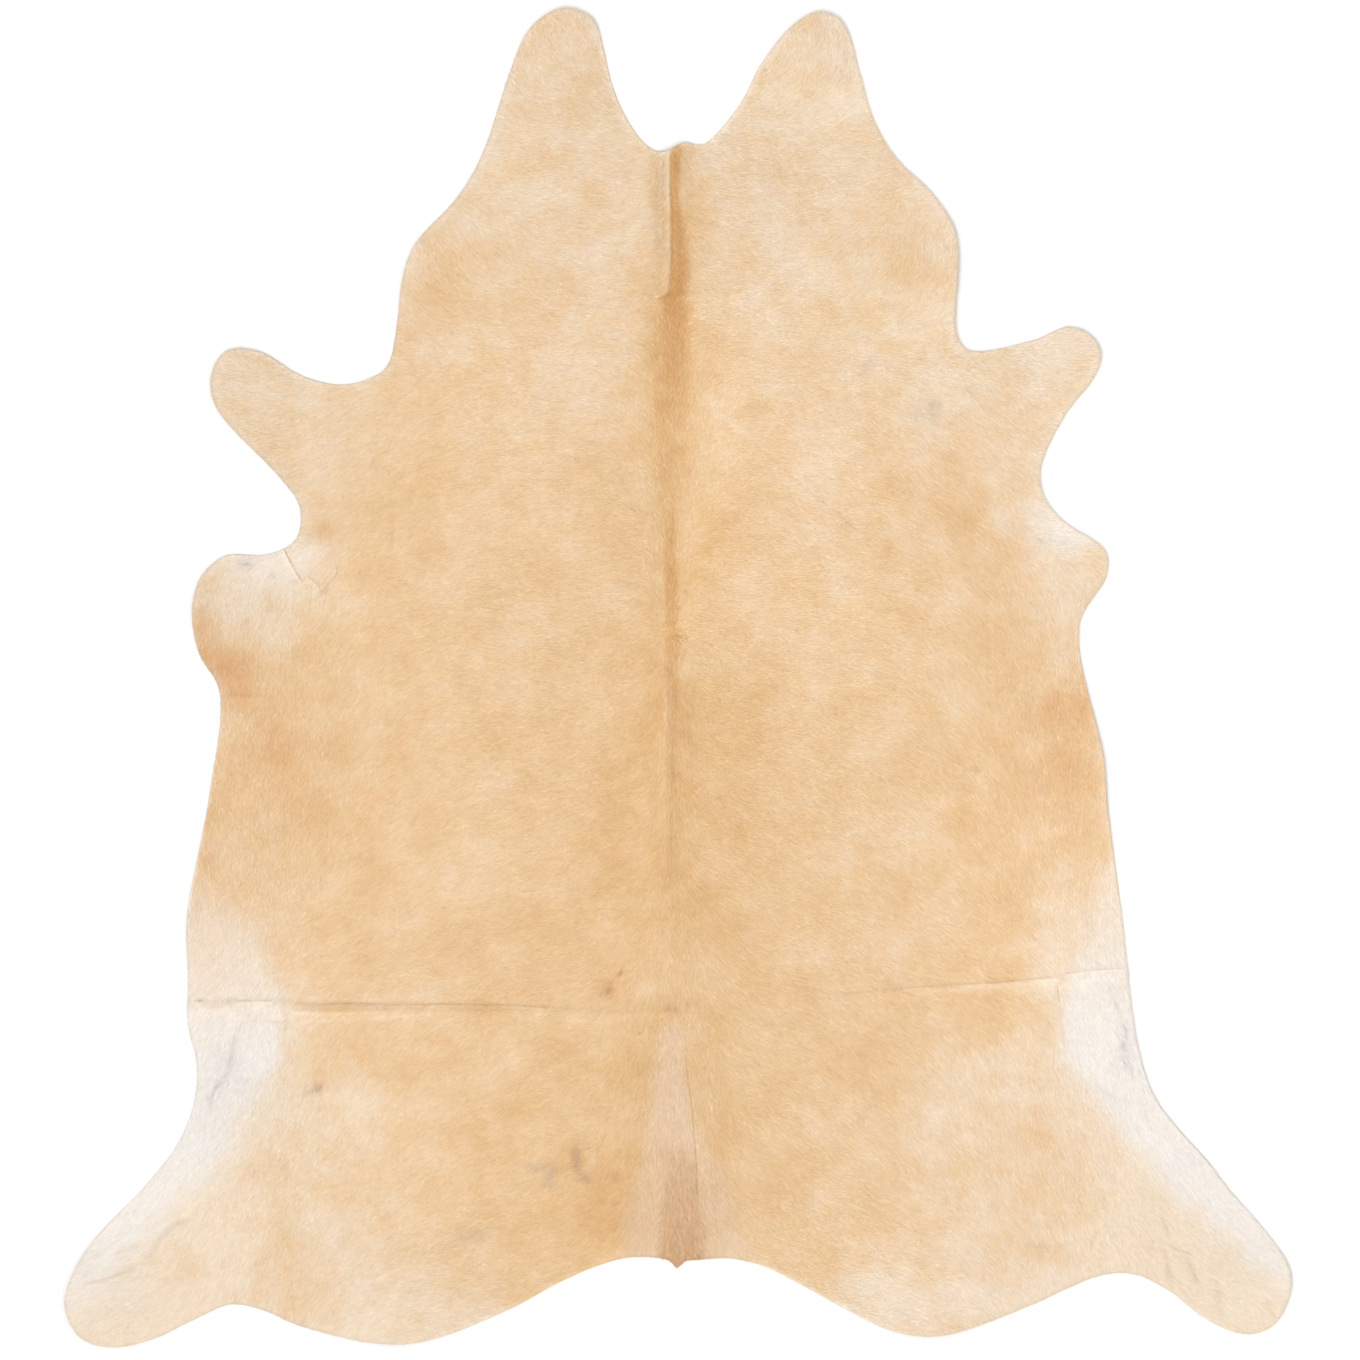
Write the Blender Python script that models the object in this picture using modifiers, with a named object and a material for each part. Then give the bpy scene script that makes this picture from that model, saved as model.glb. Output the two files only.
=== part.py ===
# Cowhide rug: one whole tanned hide with its short hair on, laid flat with the hair side up.
# Metres, +Z up. The head end points along +Y, and the floor is z = 0.
# The origin is on the floor, under the middle of the rug's box.

import math

import bmesh
import bpy
import numpy as np

MM = 0.001

# Driving sizes
LEATHER = 2.2 * MM
LYING_HAIR = 1.8 * MM
OUTLINE_STEP = 20 * MM
FINE_STEP = 4.4 * MM
COARSE_STEP = 48 * MM
SPINE_REACH = 44 * MM
CROSS_REACH = 36 * MM
CROSS_CREST = 0.59
SHEET_MARGIN = 0.03
CUTTER_HEIGHT = 0.2
WELD = 1e-5

# Colour of the coat, its roughness, and how metallic it is
COAT_COLOUR = (0.847, 0.616, 0.392, 1.0)
COAT_ROUGHNESS = 0.62
COAT_METALLIC = 0.0

# Cut edge of the hide, clockwise from the neck notch. Each row is a stretch of the edge, with its
# points in mm: how far right of the spine, and how far forward of the hind end.
EDGE = (
    ("neck notch", ((-22, 2031), (-7, 2039), (14, 2048), (42, 2044))),
    ("right head flap", ((105, 2112), (136, 2172), (163, 2211), (194, 2245), (236, 2269), (272, 2258),
                         (294, 2224), (308, 2172), (321, 2122), (338, 2075), (372, 2020))),
    ("right shoulder", ((432, 1961), (468, 1905), (476, 1857), (471, 1754), (474, 1721), (493, 1694))),
    ("right fore leg", ((615, 1714), (660, 1733), (700, 1720), (719, 1687), (707, 1646), (661, 1587))),
    ("right armpit", ((617, 1490), (626, 1439), (658, 1402), (728, 1351), (728, 1308), (683, 1227))),
    ("right side", ((724, 997), (731, 912), (756, 725), (767, 615), (782, 513), (811, 424))),
    ("right hind leg", ((865, 354), (899, 317), (938, 266), (1010, 183), (1042, 122), (1036, 75),
                        (1012, 35), (966, 21), (901, 45), (833, 96), (779, 122))),
    ("right rump", ((726, 122), (668, 101), (605, 72), (445, 18), (366, 26), (296, 57), (216, 101),
                    (148, 135), (94, 149), (34, 147))),
    ("tail", ((12, 144), (-2, 133), (-14, 145))),
    ("left rump", ((-73, 152), (-129, 140), (-206, 106), (-292, 60), (-464, 4), (-643, 35), (-707, 62))),
    ("left hind leg", ((-762, 71), (-824, 45), (-889, 14), (-957, -1), (-1013, 14), (-1042, 69),
                       (-1029, 123), (-993, 181), (-903, 276), (-850, 346), (-824, 411))),
    ("left side", ((-818, 479), (-833, 547), (-833, 632), (-835, 725), (-797, 938), (-780, 1116))),
    ("left armpit", ((-813, 1176), (-826, 1249), (-811, 1308), (-770, 1344), (-697, 1347),
                     (-649, 1374), (-644, 1429), (-675, 1475))),
    ("left fore leg", ((-784, 1595), (-794, 1646), (-770, 1691), (-714, 1692), (-638, 1650),
                       (-566, 1636), (-498, 1663))),
    ("left shoulder", ((-478, 1737), (-469, 1813), (-449, 1871), (-382, 1946), (-352, 1990),
                       (-328, 2039))),
    ("left head flap", ((-284, 2172), (-250, 2243), (-197, 2275), (-146, 2258), (-128, 2211),
                        (-112, 2146), (-87, 2088), (-51, 2041))),
)

# Fold that stands up along the spine, from the tail to the neck.
# Columns in mm: forward of the hind end, crest right of the spine, height, left and right width.
SPINE_FOLD = (
    (640, -12, 0, 14, 14),
    (760, -17, 3, 16, 18),
    (960, -20, 3.5, 16, 18),
    (1110, -21, 3, 16, 18),
    (1200, -19, 0, 16, 18),
    (1640, -12, 0, 30, 34),
    (1780, -13, 5, 30, 36),
    (1960, -14, 11, 28, 36),
    (2080, -12, 13, 26, 34),
)

# Fold that runs across the hide in front of the hind legs, where it was once folded up.
# Columns in mm: right of the spine, crest forward of the hind end, height, hind and fore width.
CROSS_FOLD = (
    (-860, 574, 3, 26, 14),
    (-700, 576, 6, 28, 15),
    (-440, 574, 5, 26, 15),
    (-180, 566, 2.5, 22, 14),
    (-40, 564, 1.5, 18, 14),
    (60, 574, 0, 18, 14),
    (170, 583, 1.2, 18, 14),
    (343, 597, 2.5, 22, 14),
    (660, 620, 3, 22, 14),
    (800, 638, 2, 22, 14),
)

# Places where the stiff hide doesn't quite lie down.
# Columns in mm: right of the spine, forward of the hind end, reach across, reach along, height.
LIFTS = (
    ("right head flap", 262, 2300, 150, 210, 9),
    ("left head flap", -215, 2310, 150, 200, 6),
    ("left shoulder", -480, 1860, 110, 200, 5),
    ("right shoulder", 520, 1830, 130, 190, 7),
    ("right fore leg", 760, 1700, 190, 150, 8),
    ("left fore leg", -830, 1660, 200, 150, 6),
    ("left armpit", -860, 1260, 130, 150, 7),
    ("right side", 760, 1010, 120, 260, 5),
    ("left side", -860, 800, 120, 230, 4),
    ("right hind leg", 1070, 90, 220, 170, 8),
    ("left hind leg", -1060, 60, 220, 170, 10),
    ("right rump", 470, -10, 230, 140, 6),
    ("left rump", -480, -20, 250, 140, 5),
)


def clear_scene():
    for obj in list(bpy.data.objects):
        bpy.data.objects.remove(obj, do_unlink=True)


def smooth_loop(points, step):
    # Closed centripetal spline through the points, with a vertex about every step.
    count = len(points)
    loop = []
    for i in range(count):
        before, start, end, after = (points[(i + k) % count] for k in (-1, 0, 1, 2))
        t1 = math.dist(before, start) ** 0.5
        t2 = t1 + math.dist(start, end) ** 0.5
        t3 = t2 + math.dist(end, after) ** 0.5
        pieces = max(2, round(math.dist(start, end) / step))
        for t in np.linspace(t1, t2, pieces, endpoint=False):
            a = before + (start - before) * t / t1
            b = start + (end - start) * (t - t1) / (t2 - t1)
            c = end + (after - end) * (t - t2) / (t3 - t2)
            ab = a + (b - a) * t / t2
            bc = b + (c - b) * (t - t1) / (t3 - t1)
            loop.append(ab + (bc - ab) * (t - t1) / (t2 - t1))
    return np.array(loop)


def edge_loop():
    points = [np.array(point) * MM for _, stretch in EDGE for point in stretch]
    return smooth_loop(points, OUTLINE_STEP)


def ridge(along, across, table):
    # Height of a fold whose crest, height and two widths change from row to row of its table.
    rows = np.array(table).T * MM
    crest, height, low_width, high_width = (np.interp(along, rows[0], column) for column in rows[1:])
    off = across - crest
    width = np.where(off < 0, low_width, high_width)
    share = np.clip(np.abs(off) / width, 0, 1)
    return height * (0.5 + 0.5 * np.cos(math.pi * share))


def lift(x, y):
    total = np.zeros_like(x)
    for _, centre_x, centre_y, reach_x, reach_y, height in LIFTS:
        far = np.hypot((x / MM - centre_x) / reach_x, (y / MM - centre_y) / reach_y)
        total += height * MM * (0.5 + 0.5 * np.cos(math.pi * np.clip(far, 0, 1)))
    return total


def underside(x, y):
    # Height of the hide's underside over the floor. Folds that meet don't add up.
    folds = np.maximum(ridge(y, x, SPINE_FOLD), ridge(x, y, CROSS_FOLD))
    return np.maximum(folds, lift(x, y))


def grid_lines(low, high, reach):
    # Places of grid lines from low to high: close together within reach of zero, and sparse elsewhere.
    fine = np.linspace(-reach, reach, 2 * round(reach / FINE_STEP) + 1)
    below = np.linspace(low, -reach, round((-reach - low) / COARSE_STEP) + 1)
    above = np.linspace(reach, high, round((high - reach) / COARSE_STEP) + 1)
    return np.concatenate([below[:-1], fine, above[1:]])


def follow(line, crest, farthest):
    # A line near zero moves over to the crest, and the outermost stays where it is.
    return line + crest * (1 - abs(line) / farthest)


def draped_sheet(edge):
    # Open sheet wider than the hide, whose grid lines run along the two folds.
    low = edge.min(0) - SHEET_MARGIN
    high = edge.max(0) + SHEET_MARGIN
    columns = grid_lines(low[0], high[0], SPINE_REACH)
    rows = grid_lines(low[1] - CROSS_CREST, high[1] - CROSS_CREST, CROSS_REACH)
    spine_y, spine_x = np.array(SPINE_FOLD).T[:2] * MM
    cross_x, cross_y = np.array(CROSS_FOLD).T[:2] * MM
    cells = np.array([len(columns) - 1, len(rows) - 1])
    sheet = bmesh.new()
    bmesh.ops.create_grid(sheet, x_segments=int(cells[0]), y_segments=int(cells[1]), size=1)
    for vert in sheet.verts:
        column, row = np.rint((np.array(vert.co.xy) + 1) / 2 * cells).astype(int)
        bend = np.interp(rows[row] + CROSS_CREST, spine_y, spine_x)
        x = follow(columns[column], bend, np.abs(columns).max())
        bend = np.interp(x, cross_x, cross_y) - CROSS_CREST
        y = follow(rows[row], bend, np.abs(rows).max()) + CROSS_CREST
        vert.co = (x, y, underside(x, y))
    mesh = bpy.data.meshes.new("hide")
    sheet.to_mesh(mesh)
    sheet.free()
    return bpy.data.objects.new("hide", mesh)


def edge_cutter(edge):
    # Upright prism of the hide's cut edge.
    curve = bpy.data.curves.new("edge", "CURVE")
    curve.dimensions = "2D"
    curve.fill_mode = "BOTH"
    curve.extrude = CUTTER_HEIGHT / 2
    spline = curve.splines.new("POLY")
    spline.points.add(len(edge) - 1)
    for point, (x, y) in zip(spline.points, edge):
        point.co = (x, y, 0, 1)
    spline.use_cyclic_u = True
    outline = bpy.data.objects.new("edge", curve)
    bpy.context.scene.collection.objects.link(outline)
    graph = bpy.context.evaluated_depsgraph_get()
    mesh = bpy.data.meshes.new_from_object(outline.evaluated_get(graph), depsgraph=graph)
    bpy.data.objects.remove(outline, do_unlink=True)
    prism = bmesh.new()
    prism.from_mesh(mesh)
    bmesh.ops.remove_doubles(prism, verts=prism.verts, dist=WELD)
    prism.to_mesh(mesh)
    prism.free()
    cutter = bpy.data.objects.new("edge_cutter", mesh)
    cutter.hide_render = True
    cutter.display_type = "WIRE"
    return cutter


def coat_material():
    material = bpy.data.materials.new("coat")
    material.use_nodes = True
    shader = material.node_tree.nodes["Principled BSDF"]
    shader.inputs["Base Color"].default_value = COAT_COLOUR
    shader.inputs["Roughness"].default_value = COAT_ROUGHNESS
    shader.inputs["Metallic"].default_value = COAT_METALLIC
    return material


def new_collection(name):
    collection = bpy.data.collections.new(name)
    bpy.context.scene.collection.children.link(collection)
    return collection


def build_rug():
    edge = edge_loop()
    middle = (edge.min(0) + edge.max(0)) / 2
    hide = draped_sheet(edge)
    cutter = edge_cutter(edge)
    new_collection("cowhide_rug").objects.link(hide)
    new_collection("cutters").objects.link(cutter)
    for obj in (hide, cutter):
        obj.location.xy = -middle

    # The sheet is the underside, and the leather and lying hair stand on it.
    thick = hide.modifiers.new("leather and hair", "SOLIDIFY")
    thick.thickness = LEATHER + LYING_HAIR
    thick.offset = 1
    thick.use_even_offset = True
    cut = hide.modifiers.new("cut edge", "BOOLEAN")
    cut.operation = "INTERSECT"
    cut.solver = "EXACT"
    cut.object = cutter

    hide.data.materials.append(coat_material())
    hide.data.shade_smooth()
    hide.data.set_sharp_from_angle(angle=math.radians(40))


clear_scene()
build_rug()
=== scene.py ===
import math

import bmesh
import bpy
import numpy as np
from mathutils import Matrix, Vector
from mathutils.bvhtree import BVHTree
from mathutils.geometry import delaunay_2d_cdt
from mathutils.kdtree import KDTree


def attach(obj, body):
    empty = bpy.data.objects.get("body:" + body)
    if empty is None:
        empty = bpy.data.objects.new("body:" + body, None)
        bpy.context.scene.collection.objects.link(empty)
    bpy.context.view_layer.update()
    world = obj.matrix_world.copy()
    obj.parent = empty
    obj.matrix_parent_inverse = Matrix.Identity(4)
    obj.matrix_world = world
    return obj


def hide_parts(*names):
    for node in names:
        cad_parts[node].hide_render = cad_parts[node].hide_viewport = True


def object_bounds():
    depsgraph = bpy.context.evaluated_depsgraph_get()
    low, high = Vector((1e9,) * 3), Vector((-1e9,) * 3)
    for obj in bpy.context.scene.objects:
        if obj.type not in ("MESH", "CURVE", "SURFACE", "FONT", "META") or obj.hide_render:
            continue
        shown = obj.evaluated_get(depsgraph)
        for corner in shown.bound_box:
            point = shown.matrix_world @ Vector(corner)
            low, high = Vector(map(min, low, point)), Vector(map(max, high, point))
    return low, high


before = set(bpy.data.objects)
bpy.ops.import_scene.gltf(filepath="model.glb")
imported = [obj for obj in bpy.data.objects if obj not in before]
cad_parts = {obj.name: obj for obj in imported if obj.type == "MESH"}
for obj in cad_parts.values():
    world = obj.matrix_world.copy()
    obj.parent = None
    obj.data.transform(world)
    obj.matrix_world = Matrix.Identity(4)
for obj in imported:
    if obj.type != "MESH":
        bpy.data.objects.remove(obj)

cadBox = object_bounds()
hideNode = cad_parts["hide"]

# The tables below give mm to the right of the middle line and mm forward of the hind end.
mm = 0.001
hindEnd = cadBox[0].y + 1 * mm
spineX = -13 * mm  # the spine lies a little left of the middle line


def place(right, forward):
    return right * mm, hindEnd + forward * mm


def smoothStep(low, high, value):
    share = np.clip((value - low) / (high - low), 0, 1)
    return share * share * (3 - 2 * share)


# One seed for each random field. The lumps repeat after this many rows and columns.
seeds = {
    "ripple": 5,
    "pucker": 6,
    "sway": 8,
    "fineStreaks": 11,
    "tuftStreaks": 12,
    "border": 21,
    "fineBorder": 31,
    "markUneven": 41,
    "creaseUneven": 51,
    "hair": 2024,
}
lumpRows = 89
lumpColumns = 97


def lumps(x, y, size, seed):
    # soft random lumps of that size, from -1 to 1
    lattice = np.random.default_rng(seed).uniform(-1, 1, (lumpRows, lumpColumns))
    u = x / size
    v = y / size
    i = np.floor(u).astype(int)
    j = np.floor(v).astype(int)
    u = smoothStep(0, 1, u - i)
    v = smoothStep(0, 1, v - j)

    def corner(a, b):
        return lattice[(j + b) % lumpRows, (i + a) % lumpColumns]

    low = corner(0, 0) * (1 - u) + corner(1, 0) * u
    high = corner(0, 1) * (1 - u) + corner(1, 1) * u
    return low * (1 - v) + high * v


class Field:
    # numbers on a square grid over the rug, read anywhere between its points
    def __init__(self, step, margin=0.03):
        self.step = step
        self.lowX = cadBox[0].x - margin
        self.lowY = cadBox[0].y - margin
        columns = int((cadBox[1].x - cadBox[0].x + 2 * margin) / step) + 2
        rows = int((cadBox[1].y - cadBox[0].y + 2 * margin) / step) + 2
        self.xs = self.lowX + step * np.arange(columns)
        self.ys = self.lowY + step * np.arange(rows)
        self.values = np.zeros((rows, columns))

    def at(self, x, y):
        rows, columns = self.values.shape
        u = np.clip((x - self.lowX) / self.step, 0, columns - 1.001)
        v = np.clip((y - self.lowY) / self.step, 0, rows - 1.001)
        i = u.astype(int)
        j = v.astype(int)
        u = u - i
        v = v - j
        low = self.values[j, i] * (1 - u) + self.values[j, i + 1] * u
        high = self.values[j + 1, i] * (1 - u) + self.values[j + 1, i + 1] * u
        return low * (1 - v) + high * v


# What the frame gives: the outline, and the height of both faces
readLook = {
    "fieldStep": 0.005,
    "spreadRounds": 5,  # how far the heights go on past the edge, in steps
    "edgeStep": 0.004,
    "wallTilt": 0.3,  # a face of the cut edge has a normal that rises less than this
    "topTilt": 0.5,  # and one of the hair side's rises more than this
    "straight": 0.6,  # a turn of fewer degrees isn't a corner of the outline
    "curvePoints": 24,  # between two corners
    "edgeZone": 0.02,  # nearer than this the distance to the edge is worked out
}


def aroundSum(values):
    wide = np.pad(values, 1)
    rows, columns = values.shape
    total = np.zeros_like(values)
    for down in range(3):
        for along in range(3):
            total += wide[down:down + rows, along:along + columns]
    return total


def readHeights(tree, fromAbove):
    field = Field(readLook["fieldStep"])
    start = 1.0 if fromAbove else -1.0
    way = Vector((0, 0, -start))
    heights = np.full(field.values.shape, np.nan)
    for j, y in enumerate(field.ys):
        for i, x in enumerate(field.xs):
            spot = tree.ray_cast(Vector((x, y, start)), way)[0]
            if spot is not None:
                heights[j, i] = spot.z
    for _ in range(readLook["spreadRounds"]):
        known = ~np.isnan(heights)
        near = aroundSum(known.astype(float))
        sums = aroundSum(np.where(known, heights, 0.0))
        fill = ~known & (near > 0)
        heights[fill] = sums[fill] / near[fill]
    known = ~np.isnan(heights)
    flat = np.where(known, heights, 0.0)
    mean = aroundSum(flat) / np.maximum(aroundSum(known.astype(float)), 1)
    field.values = np.where(known, 0.5 * flat + 0.5 * mean, 0.0)
    return field


def readOutline():
    # the closed loop where the hide's wall meets its hair side, in order
    mesh = bmesh.new()
    mesh.from_mesh(hideNode.data)
    bmesh.ops.remove_doubles(mesh, verts=mesh.verts, dist=1e-6)
    mesh.normal_update()
    beside = {}
    for edge in mesh.edges:
        if len(edge.link_faces) != 2:
            continue
        low, high = sorted(face.normal.z for face in edge.link_faces)
        if abs(low) < readLook["wallTilt"] and high > readLook["topTilt"]:
            first, second = edge.verts
            beside.setdefault(first.index, []).append(second.index)
            beside.setdefault(second.index, []).append(first.index)
    mesh.verts.ensure_lookup_table()
    start = min(beside)
    loop = [start]
    seen = {start}
    while True:
        onward = [n for n in beside[loop[-1]] if n not in seen]
        if not onward:
            break
        loop.append(onward[0])
        seen.add(onward[0])
    points = np.array([mesh.verts[n].co.xy for n in loop])
    mesh.free()
    ahead = np.roll(points, -1, axis=0) - points
    behind = points - np.roll(points, 1, axis=0)
    turn = np.arctan2(
        behind[:, 0] * ahead[:, 1] - behind[:, 1] * ahead[:, 0],
        (behind * ahead).sum(axis=1),
    )
    points = points[np.abs(np.degrees(turn)) > readLook["straight"]]
    after = np.roll(points, -1, axis=0)
    area = 0.5 * np.sum(points[:, 0] * after[:, 1] - after[:, 0] * points[:, 1])
    return points if area > 0 else points[::-1]  # always anticlockwise


def roundOff(points, step):
    # a smooth closed curve through the corners, in even steps
    ahead = np.roll(points, -1, axis=0) - points
    span = np.sqrt(np.linalg.norm(ahead, axis=1))
    before = np.roll(span, 1)
    slope = ahead / span[:, None]
    slopeBefore = np.roll(slope, 1, axis=0)
    tangent = (slopeBefore * span[:, None] + slope * before[:, None]) / (span + before)[:, None]
    curve = []
    for n in range(len(points)):
        after = (n + 1) % len(points)
        share = np.linspace(0, 1, readLook["curvePoints"], endpoint=False)[:, None]
        cube = share ** 3
        square = share ** 2
        curve.append(
            (2 * cube - 3 * square + 1) * points[n]
            + (cube - 2 * square + share) * span[n] * tangent[n]
            + (3 * square - 2 * cube) * points[after]
            + (cube - square) * span[n] * tangent[after]
        )
    curve = np.concatenate(curve)
    closed = np.vstack([curve, curve[:1]])
    length = np.concatenate([[0], np.cumsum(np.linalg.norm(np.diff(closed, axis=0), axis=1))])
    count = int(round(length[-1] / step))
    wanted = np.linspace(0, length[-1], count, endpoint=False)
    return np.stack([np.interp(wanted, length, closed[:, axis]) for axis in range(2)], axis=1)


def crossings(loop, y):
    # where the outline passes this line across the hide, from left to right
    after = np.roll(loop, -1, axis=0)
    passes = (loop[:, 1] > y) != (after[:, 1] > y)
    low = loop[passes]
    high = after[passes]
    share = (y - low[:, 1]) / (high[:, 1] - low[:, 1])
    return np.sort(low[:, 0] + share * (high[:, 0] - low[:, 0]))


def readEdgeDistance(loop):
    # distance to the edge, above 0 on the hide, worked out only near the edge
    field = Field(readLook["fieldStep"])
    tree = KDTree(len(loop))
    for n, point in enumerate(loop):
        tree.insert((point[0], point[1], 0), n)
    tree.balance()
    zone = readLook["edgeZone"]
    for j, y in enumerate(field.ys):
        inside = np.searchsorted(crossings(loop, y), field.xs) % 2 == 1
        for i, x in enumerate(field.xs):
            distance = min(tree.find((x, y, 0))[2], zone)
            field.values[j, i] = distance if inside[i] else -distance
    return field


cadTree = BVHTree.FromObject(hideNode, bpy.context.evaluated_depsgraph_get())
hairTop = readHeights(cadTree, True)
underside = readHeights(cadTree, False)
edgeCorners = readOutline()
outline = roundOff(edgeCorners, readLook["edgeStep"])
edgeDistance = readEdgeDistance(roundOff(edgeCorners, readLook["edgeStep"] / 2))
print("read the hide:", len(outline), "outline points")


# Folds, creases and ripples that are finer than the frame's
surfaceLook = {
    "hairDepth": 1.8 * mm,  # the lying hair's share of the hide's thickness
    "leastLeather": 0.9 * mm,
    "rippleSize": 0.085,
    "ripple": 0.35 * mm,
    "puckerSize": 0.028,
    "pucker": 0.1 * mm,
    "creaseTaper": 18 * mm,  # creases run out over this length
    "creaseEnd": 0.3,  # how blunt their ends are
    "foldStep": 0.003,
}
lineReach = 3  # half-widths from its middle at which a line has run out

# half-width, height (below 0 is a trough), darkness as painted shade in the crease (below 0,
# painted light on its lit ridge), places along it
creases = (
    (2.2, -0.3, 0.3, ((-828, 588), (-812, 588), (-800, 588))),
    (1.2, -0.3, 0.27, ((-806, 588), (-770, 587), (-740, 588))),
    (1.3, -0.3, 0.34, ((-756, 587), (-720, 588), (-684, 588))),
    (2.0, -0.3, 0.34, ((-656, 583), (-610, 581), (-570, 583), (-510, 582))),
    (6.5, -0.1, 0.3, ((-664, 575), (-600, 573), (-540, 574), (-490, 574))),
    (5.5, -0.1, 0.25, ((-510, 575), (-440, 575), (-350, 574), (-240, 571))),
    (1.8, -0.3, 0.33, ((-530, 582), (-480, 581), (-400, 582), (-300, 581), (-220, 577))),
    (2.6, -0.3, 0.14, ((-270, 580), (-190, 574), (-120, 571), (-60, 568))),
    (1.6, -0.2, 0.16, ((-696, 588), (-645, 584))),
    (2.2, 0.2, -0.36, ((-648, 591), (-560, 591), (-450, 589))),
    (2.6, 0.2, -0.5, ((-652, 550), (-585, 555), (-520, 557), (-460, 562), (-418, 565))),
    (1.6, -0.3, 0.16, ((-752, 551), (-700, 552), (-655, 551))),
    (1.8, -0.3, 0.14, ((-745, 617), (-690, 614))),
    (2.0, -0.4, 0.2, ((270, 598), (340, 605), (400, 610))),
    (1.3, -0.3, 0.28, ((370, 608), (460, 615), (530, 618), (600, 624), (650, 629))),
    (1.3, -0.4, 0.33, ((650, 633), (700, 640), (766, 644))),
    (4.4, 0.3, -0.5, ((400, 602), (480, 607), (560, 613), (645, 619))),
    (1.8, -0.4, 0.34, ((645, 620), (648, 600), (651, 578))),
    (1.8, -0.3, 0.2, ((651, 575), (654, 540), (656, 508))),
    (2.0, -0.3, 0.16, ((-682, 628), (-674, 600), (-666, 560), (-668, 525), (-673, 500))),
    (1.6, -0.2, 0.1, ((-757, 695), (-756, 650), (-758, 605))),
    (2.0, -0.4, 0.4, ((-76, 526), (-61, 533), (-56, 546), (-53, 556))),
    (2.6, -0.4, 0.16, ((-80, 560), (-40, 557), (0, 562), (28, 582), (48, 589))),
    (2.0, -0.4, 0.28, ((13, 500), (18, 455), (26, 400), (29, 350), (33, 300), (34, 245))),
    (2.4, 0.3, -0.26, ((50, 440), (58, 400), (67, 345))),
    (1.6, -0.3, 0.24, ((30, 338), (48, 338), (68, 339))),
    (1.8, 0.3, -0.3, ((1, 194), (7, 176), (9, 150))),
    (1.5, -0.3, 0.25, ((-9, 245), (-7, 225), (-10, 210))),
    (1.0, -0.4, 0.4, ((-16, 1334), (-11, 1322), (-5, 1305))),
    (2.4, -0.2, 0.24, ((-8, 1440), (-9, 1390), (-10, 1350), (-15, 1332), (-16, 1318))),
    (2.4, 0.2, -0.2, ((-17, 2030), (-17, 1970), (-16, 1920), (-16, 1860))),
    (2.8, 0.2, -0.16, ((-17, 1880), (-18, 1840), (-18, 1795))),
    (1.6, -0.3, 0.22, ((-25, 2034), (-25, 1960), (-24, 1890), (-26, 1830))),
    (1.8, -0.2, 0.12, ((-35, 2010), (-36, 1930), (-34, 1850))),
    (2.0, -0.2, 0.2, ((-10, 2034), (-11, 1960), (-10, 1880), (-10, 1800))),
    (2.4, -0.3, 0.34, ((-40, 1776), (-30, 1783), (-14, 1789), (4, 1786))),
    (1.3, -0.2, 0.55, ((-1, 1211), (8, 1203))),
    (1.3, -0.2, 0.55, ((0, 1200), (8, 1193))),
    (1.2, -0.2, 0.45, ((8, 1209), (16, 1200))),
    (1.2, -0.2, 0.35, ((14, 1203), (26, 1207))),
    (2.8, 0.2, -0.34, ((-21, 1122), (-21, 1080), (-22, 1040))),
    (2.2, 0.2, -0.2, ((-22, 1060), (-23, 1000), (-22, 900), (-20, 800))),
    (1.8, -0.2, 0.12, ((-9, 1190), (-8, 1080), (-10, 940), (-11, 760))),
    (1.1, -1.2, 1.0, ((-673, 1364), (-655, 1328), (-637, 1297))),
    (2.2, 0.4, -0.8, ((-677, 1353), (-660, 1324), (-643, 1299))),
    (1.1, -0.3, 0.3, ((-640, 1317), (-618, 1299), (-602, 1285))),
    (1.1, -0.3, 0.24, ((-630, 1312), (-612, 1300), (-592, 1295))),
    (1.1, -0.3, 0.28, ((-578, 1334), (-580, 1313), (-591, 1299), (-604, 1283))),
    (3.0, -0.3, 0.12, ((-487, 1428), (-485, 1385), (-491, 1335))),
    (3.0, 0.3, -0.14, ((-479, 1425), (-477, 1380), (-484, 1335))),
    (3.0, -0.5, 0.2, ((-772, 1112), (-740, 1108), (-700, 1110))),
    (3.0, 0.4, -0.12, ((-770, 1103), (-735, 1100), (-700, 1102))),
    (2.8, -0.5, 0.26, ((-1008, 107), (-975, 114), (-950, 121))),
    (5.0, -0.6, 0.26, ((-968, 118), (-945, 126), (-918, 135))),
    (6.0, -0.7, 0.25, ((-912, 138), (-893, 160), (-876, 188), (-856, 206), (-826, 218))),
    (4.0, -0.5, 0.2, ((-962, 155), (-930, 168), (-900, 178))),
    (4.0, -0.4, 0.08, ((-1000, 152), (-970, 165), (-945, 182))),
    (4.0, -0.3, 0.08, ((-905, 205), (-880, 213), (-850, 222))),
    (2.8, -0.3, 0.3, ((800, 181), (822, 176), (838, 170), (850, 164), (866, 160), (880, 152))),
    (5.0, -0.3, 0.26, ((824, 172), (832, 150), (836, 124), (840, 104))),
    (4.6, -0.3, 0.26, ((864, 158), (874, 134), (884, 108), (890, 92))),
    (6.0, -0.45, 0.22, ((914, 118), (921, 84), (926, 50))),
    (3.0, -0.3, 0.27, ((585, 172), (625, 169), (682, 175))),
    (3.4, -0.5, 0.24, ((818, 226), (829, 207), (834, 192))),
    (1.8, -0.3, 0.14, ((716, 316), (728, 302), (740, 294))),
    (2.4, -0.3, 0.16, ((122, 1541), (190, 1484), (260, 1425), (308, 1388))),
    (3.0, -0.3, 0.26, ((-112, 1304), (-86, 1299), (-60, 1292), (-40, 1284))),
    (1.6, -0.3, 0.16, ((-361, 472), (-363, 452))),
    (2.2, 0.3, -0.16, ((-62, 1762), (-44, 1745), (-46, 1715), (-52, 1690))),
)

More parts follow.
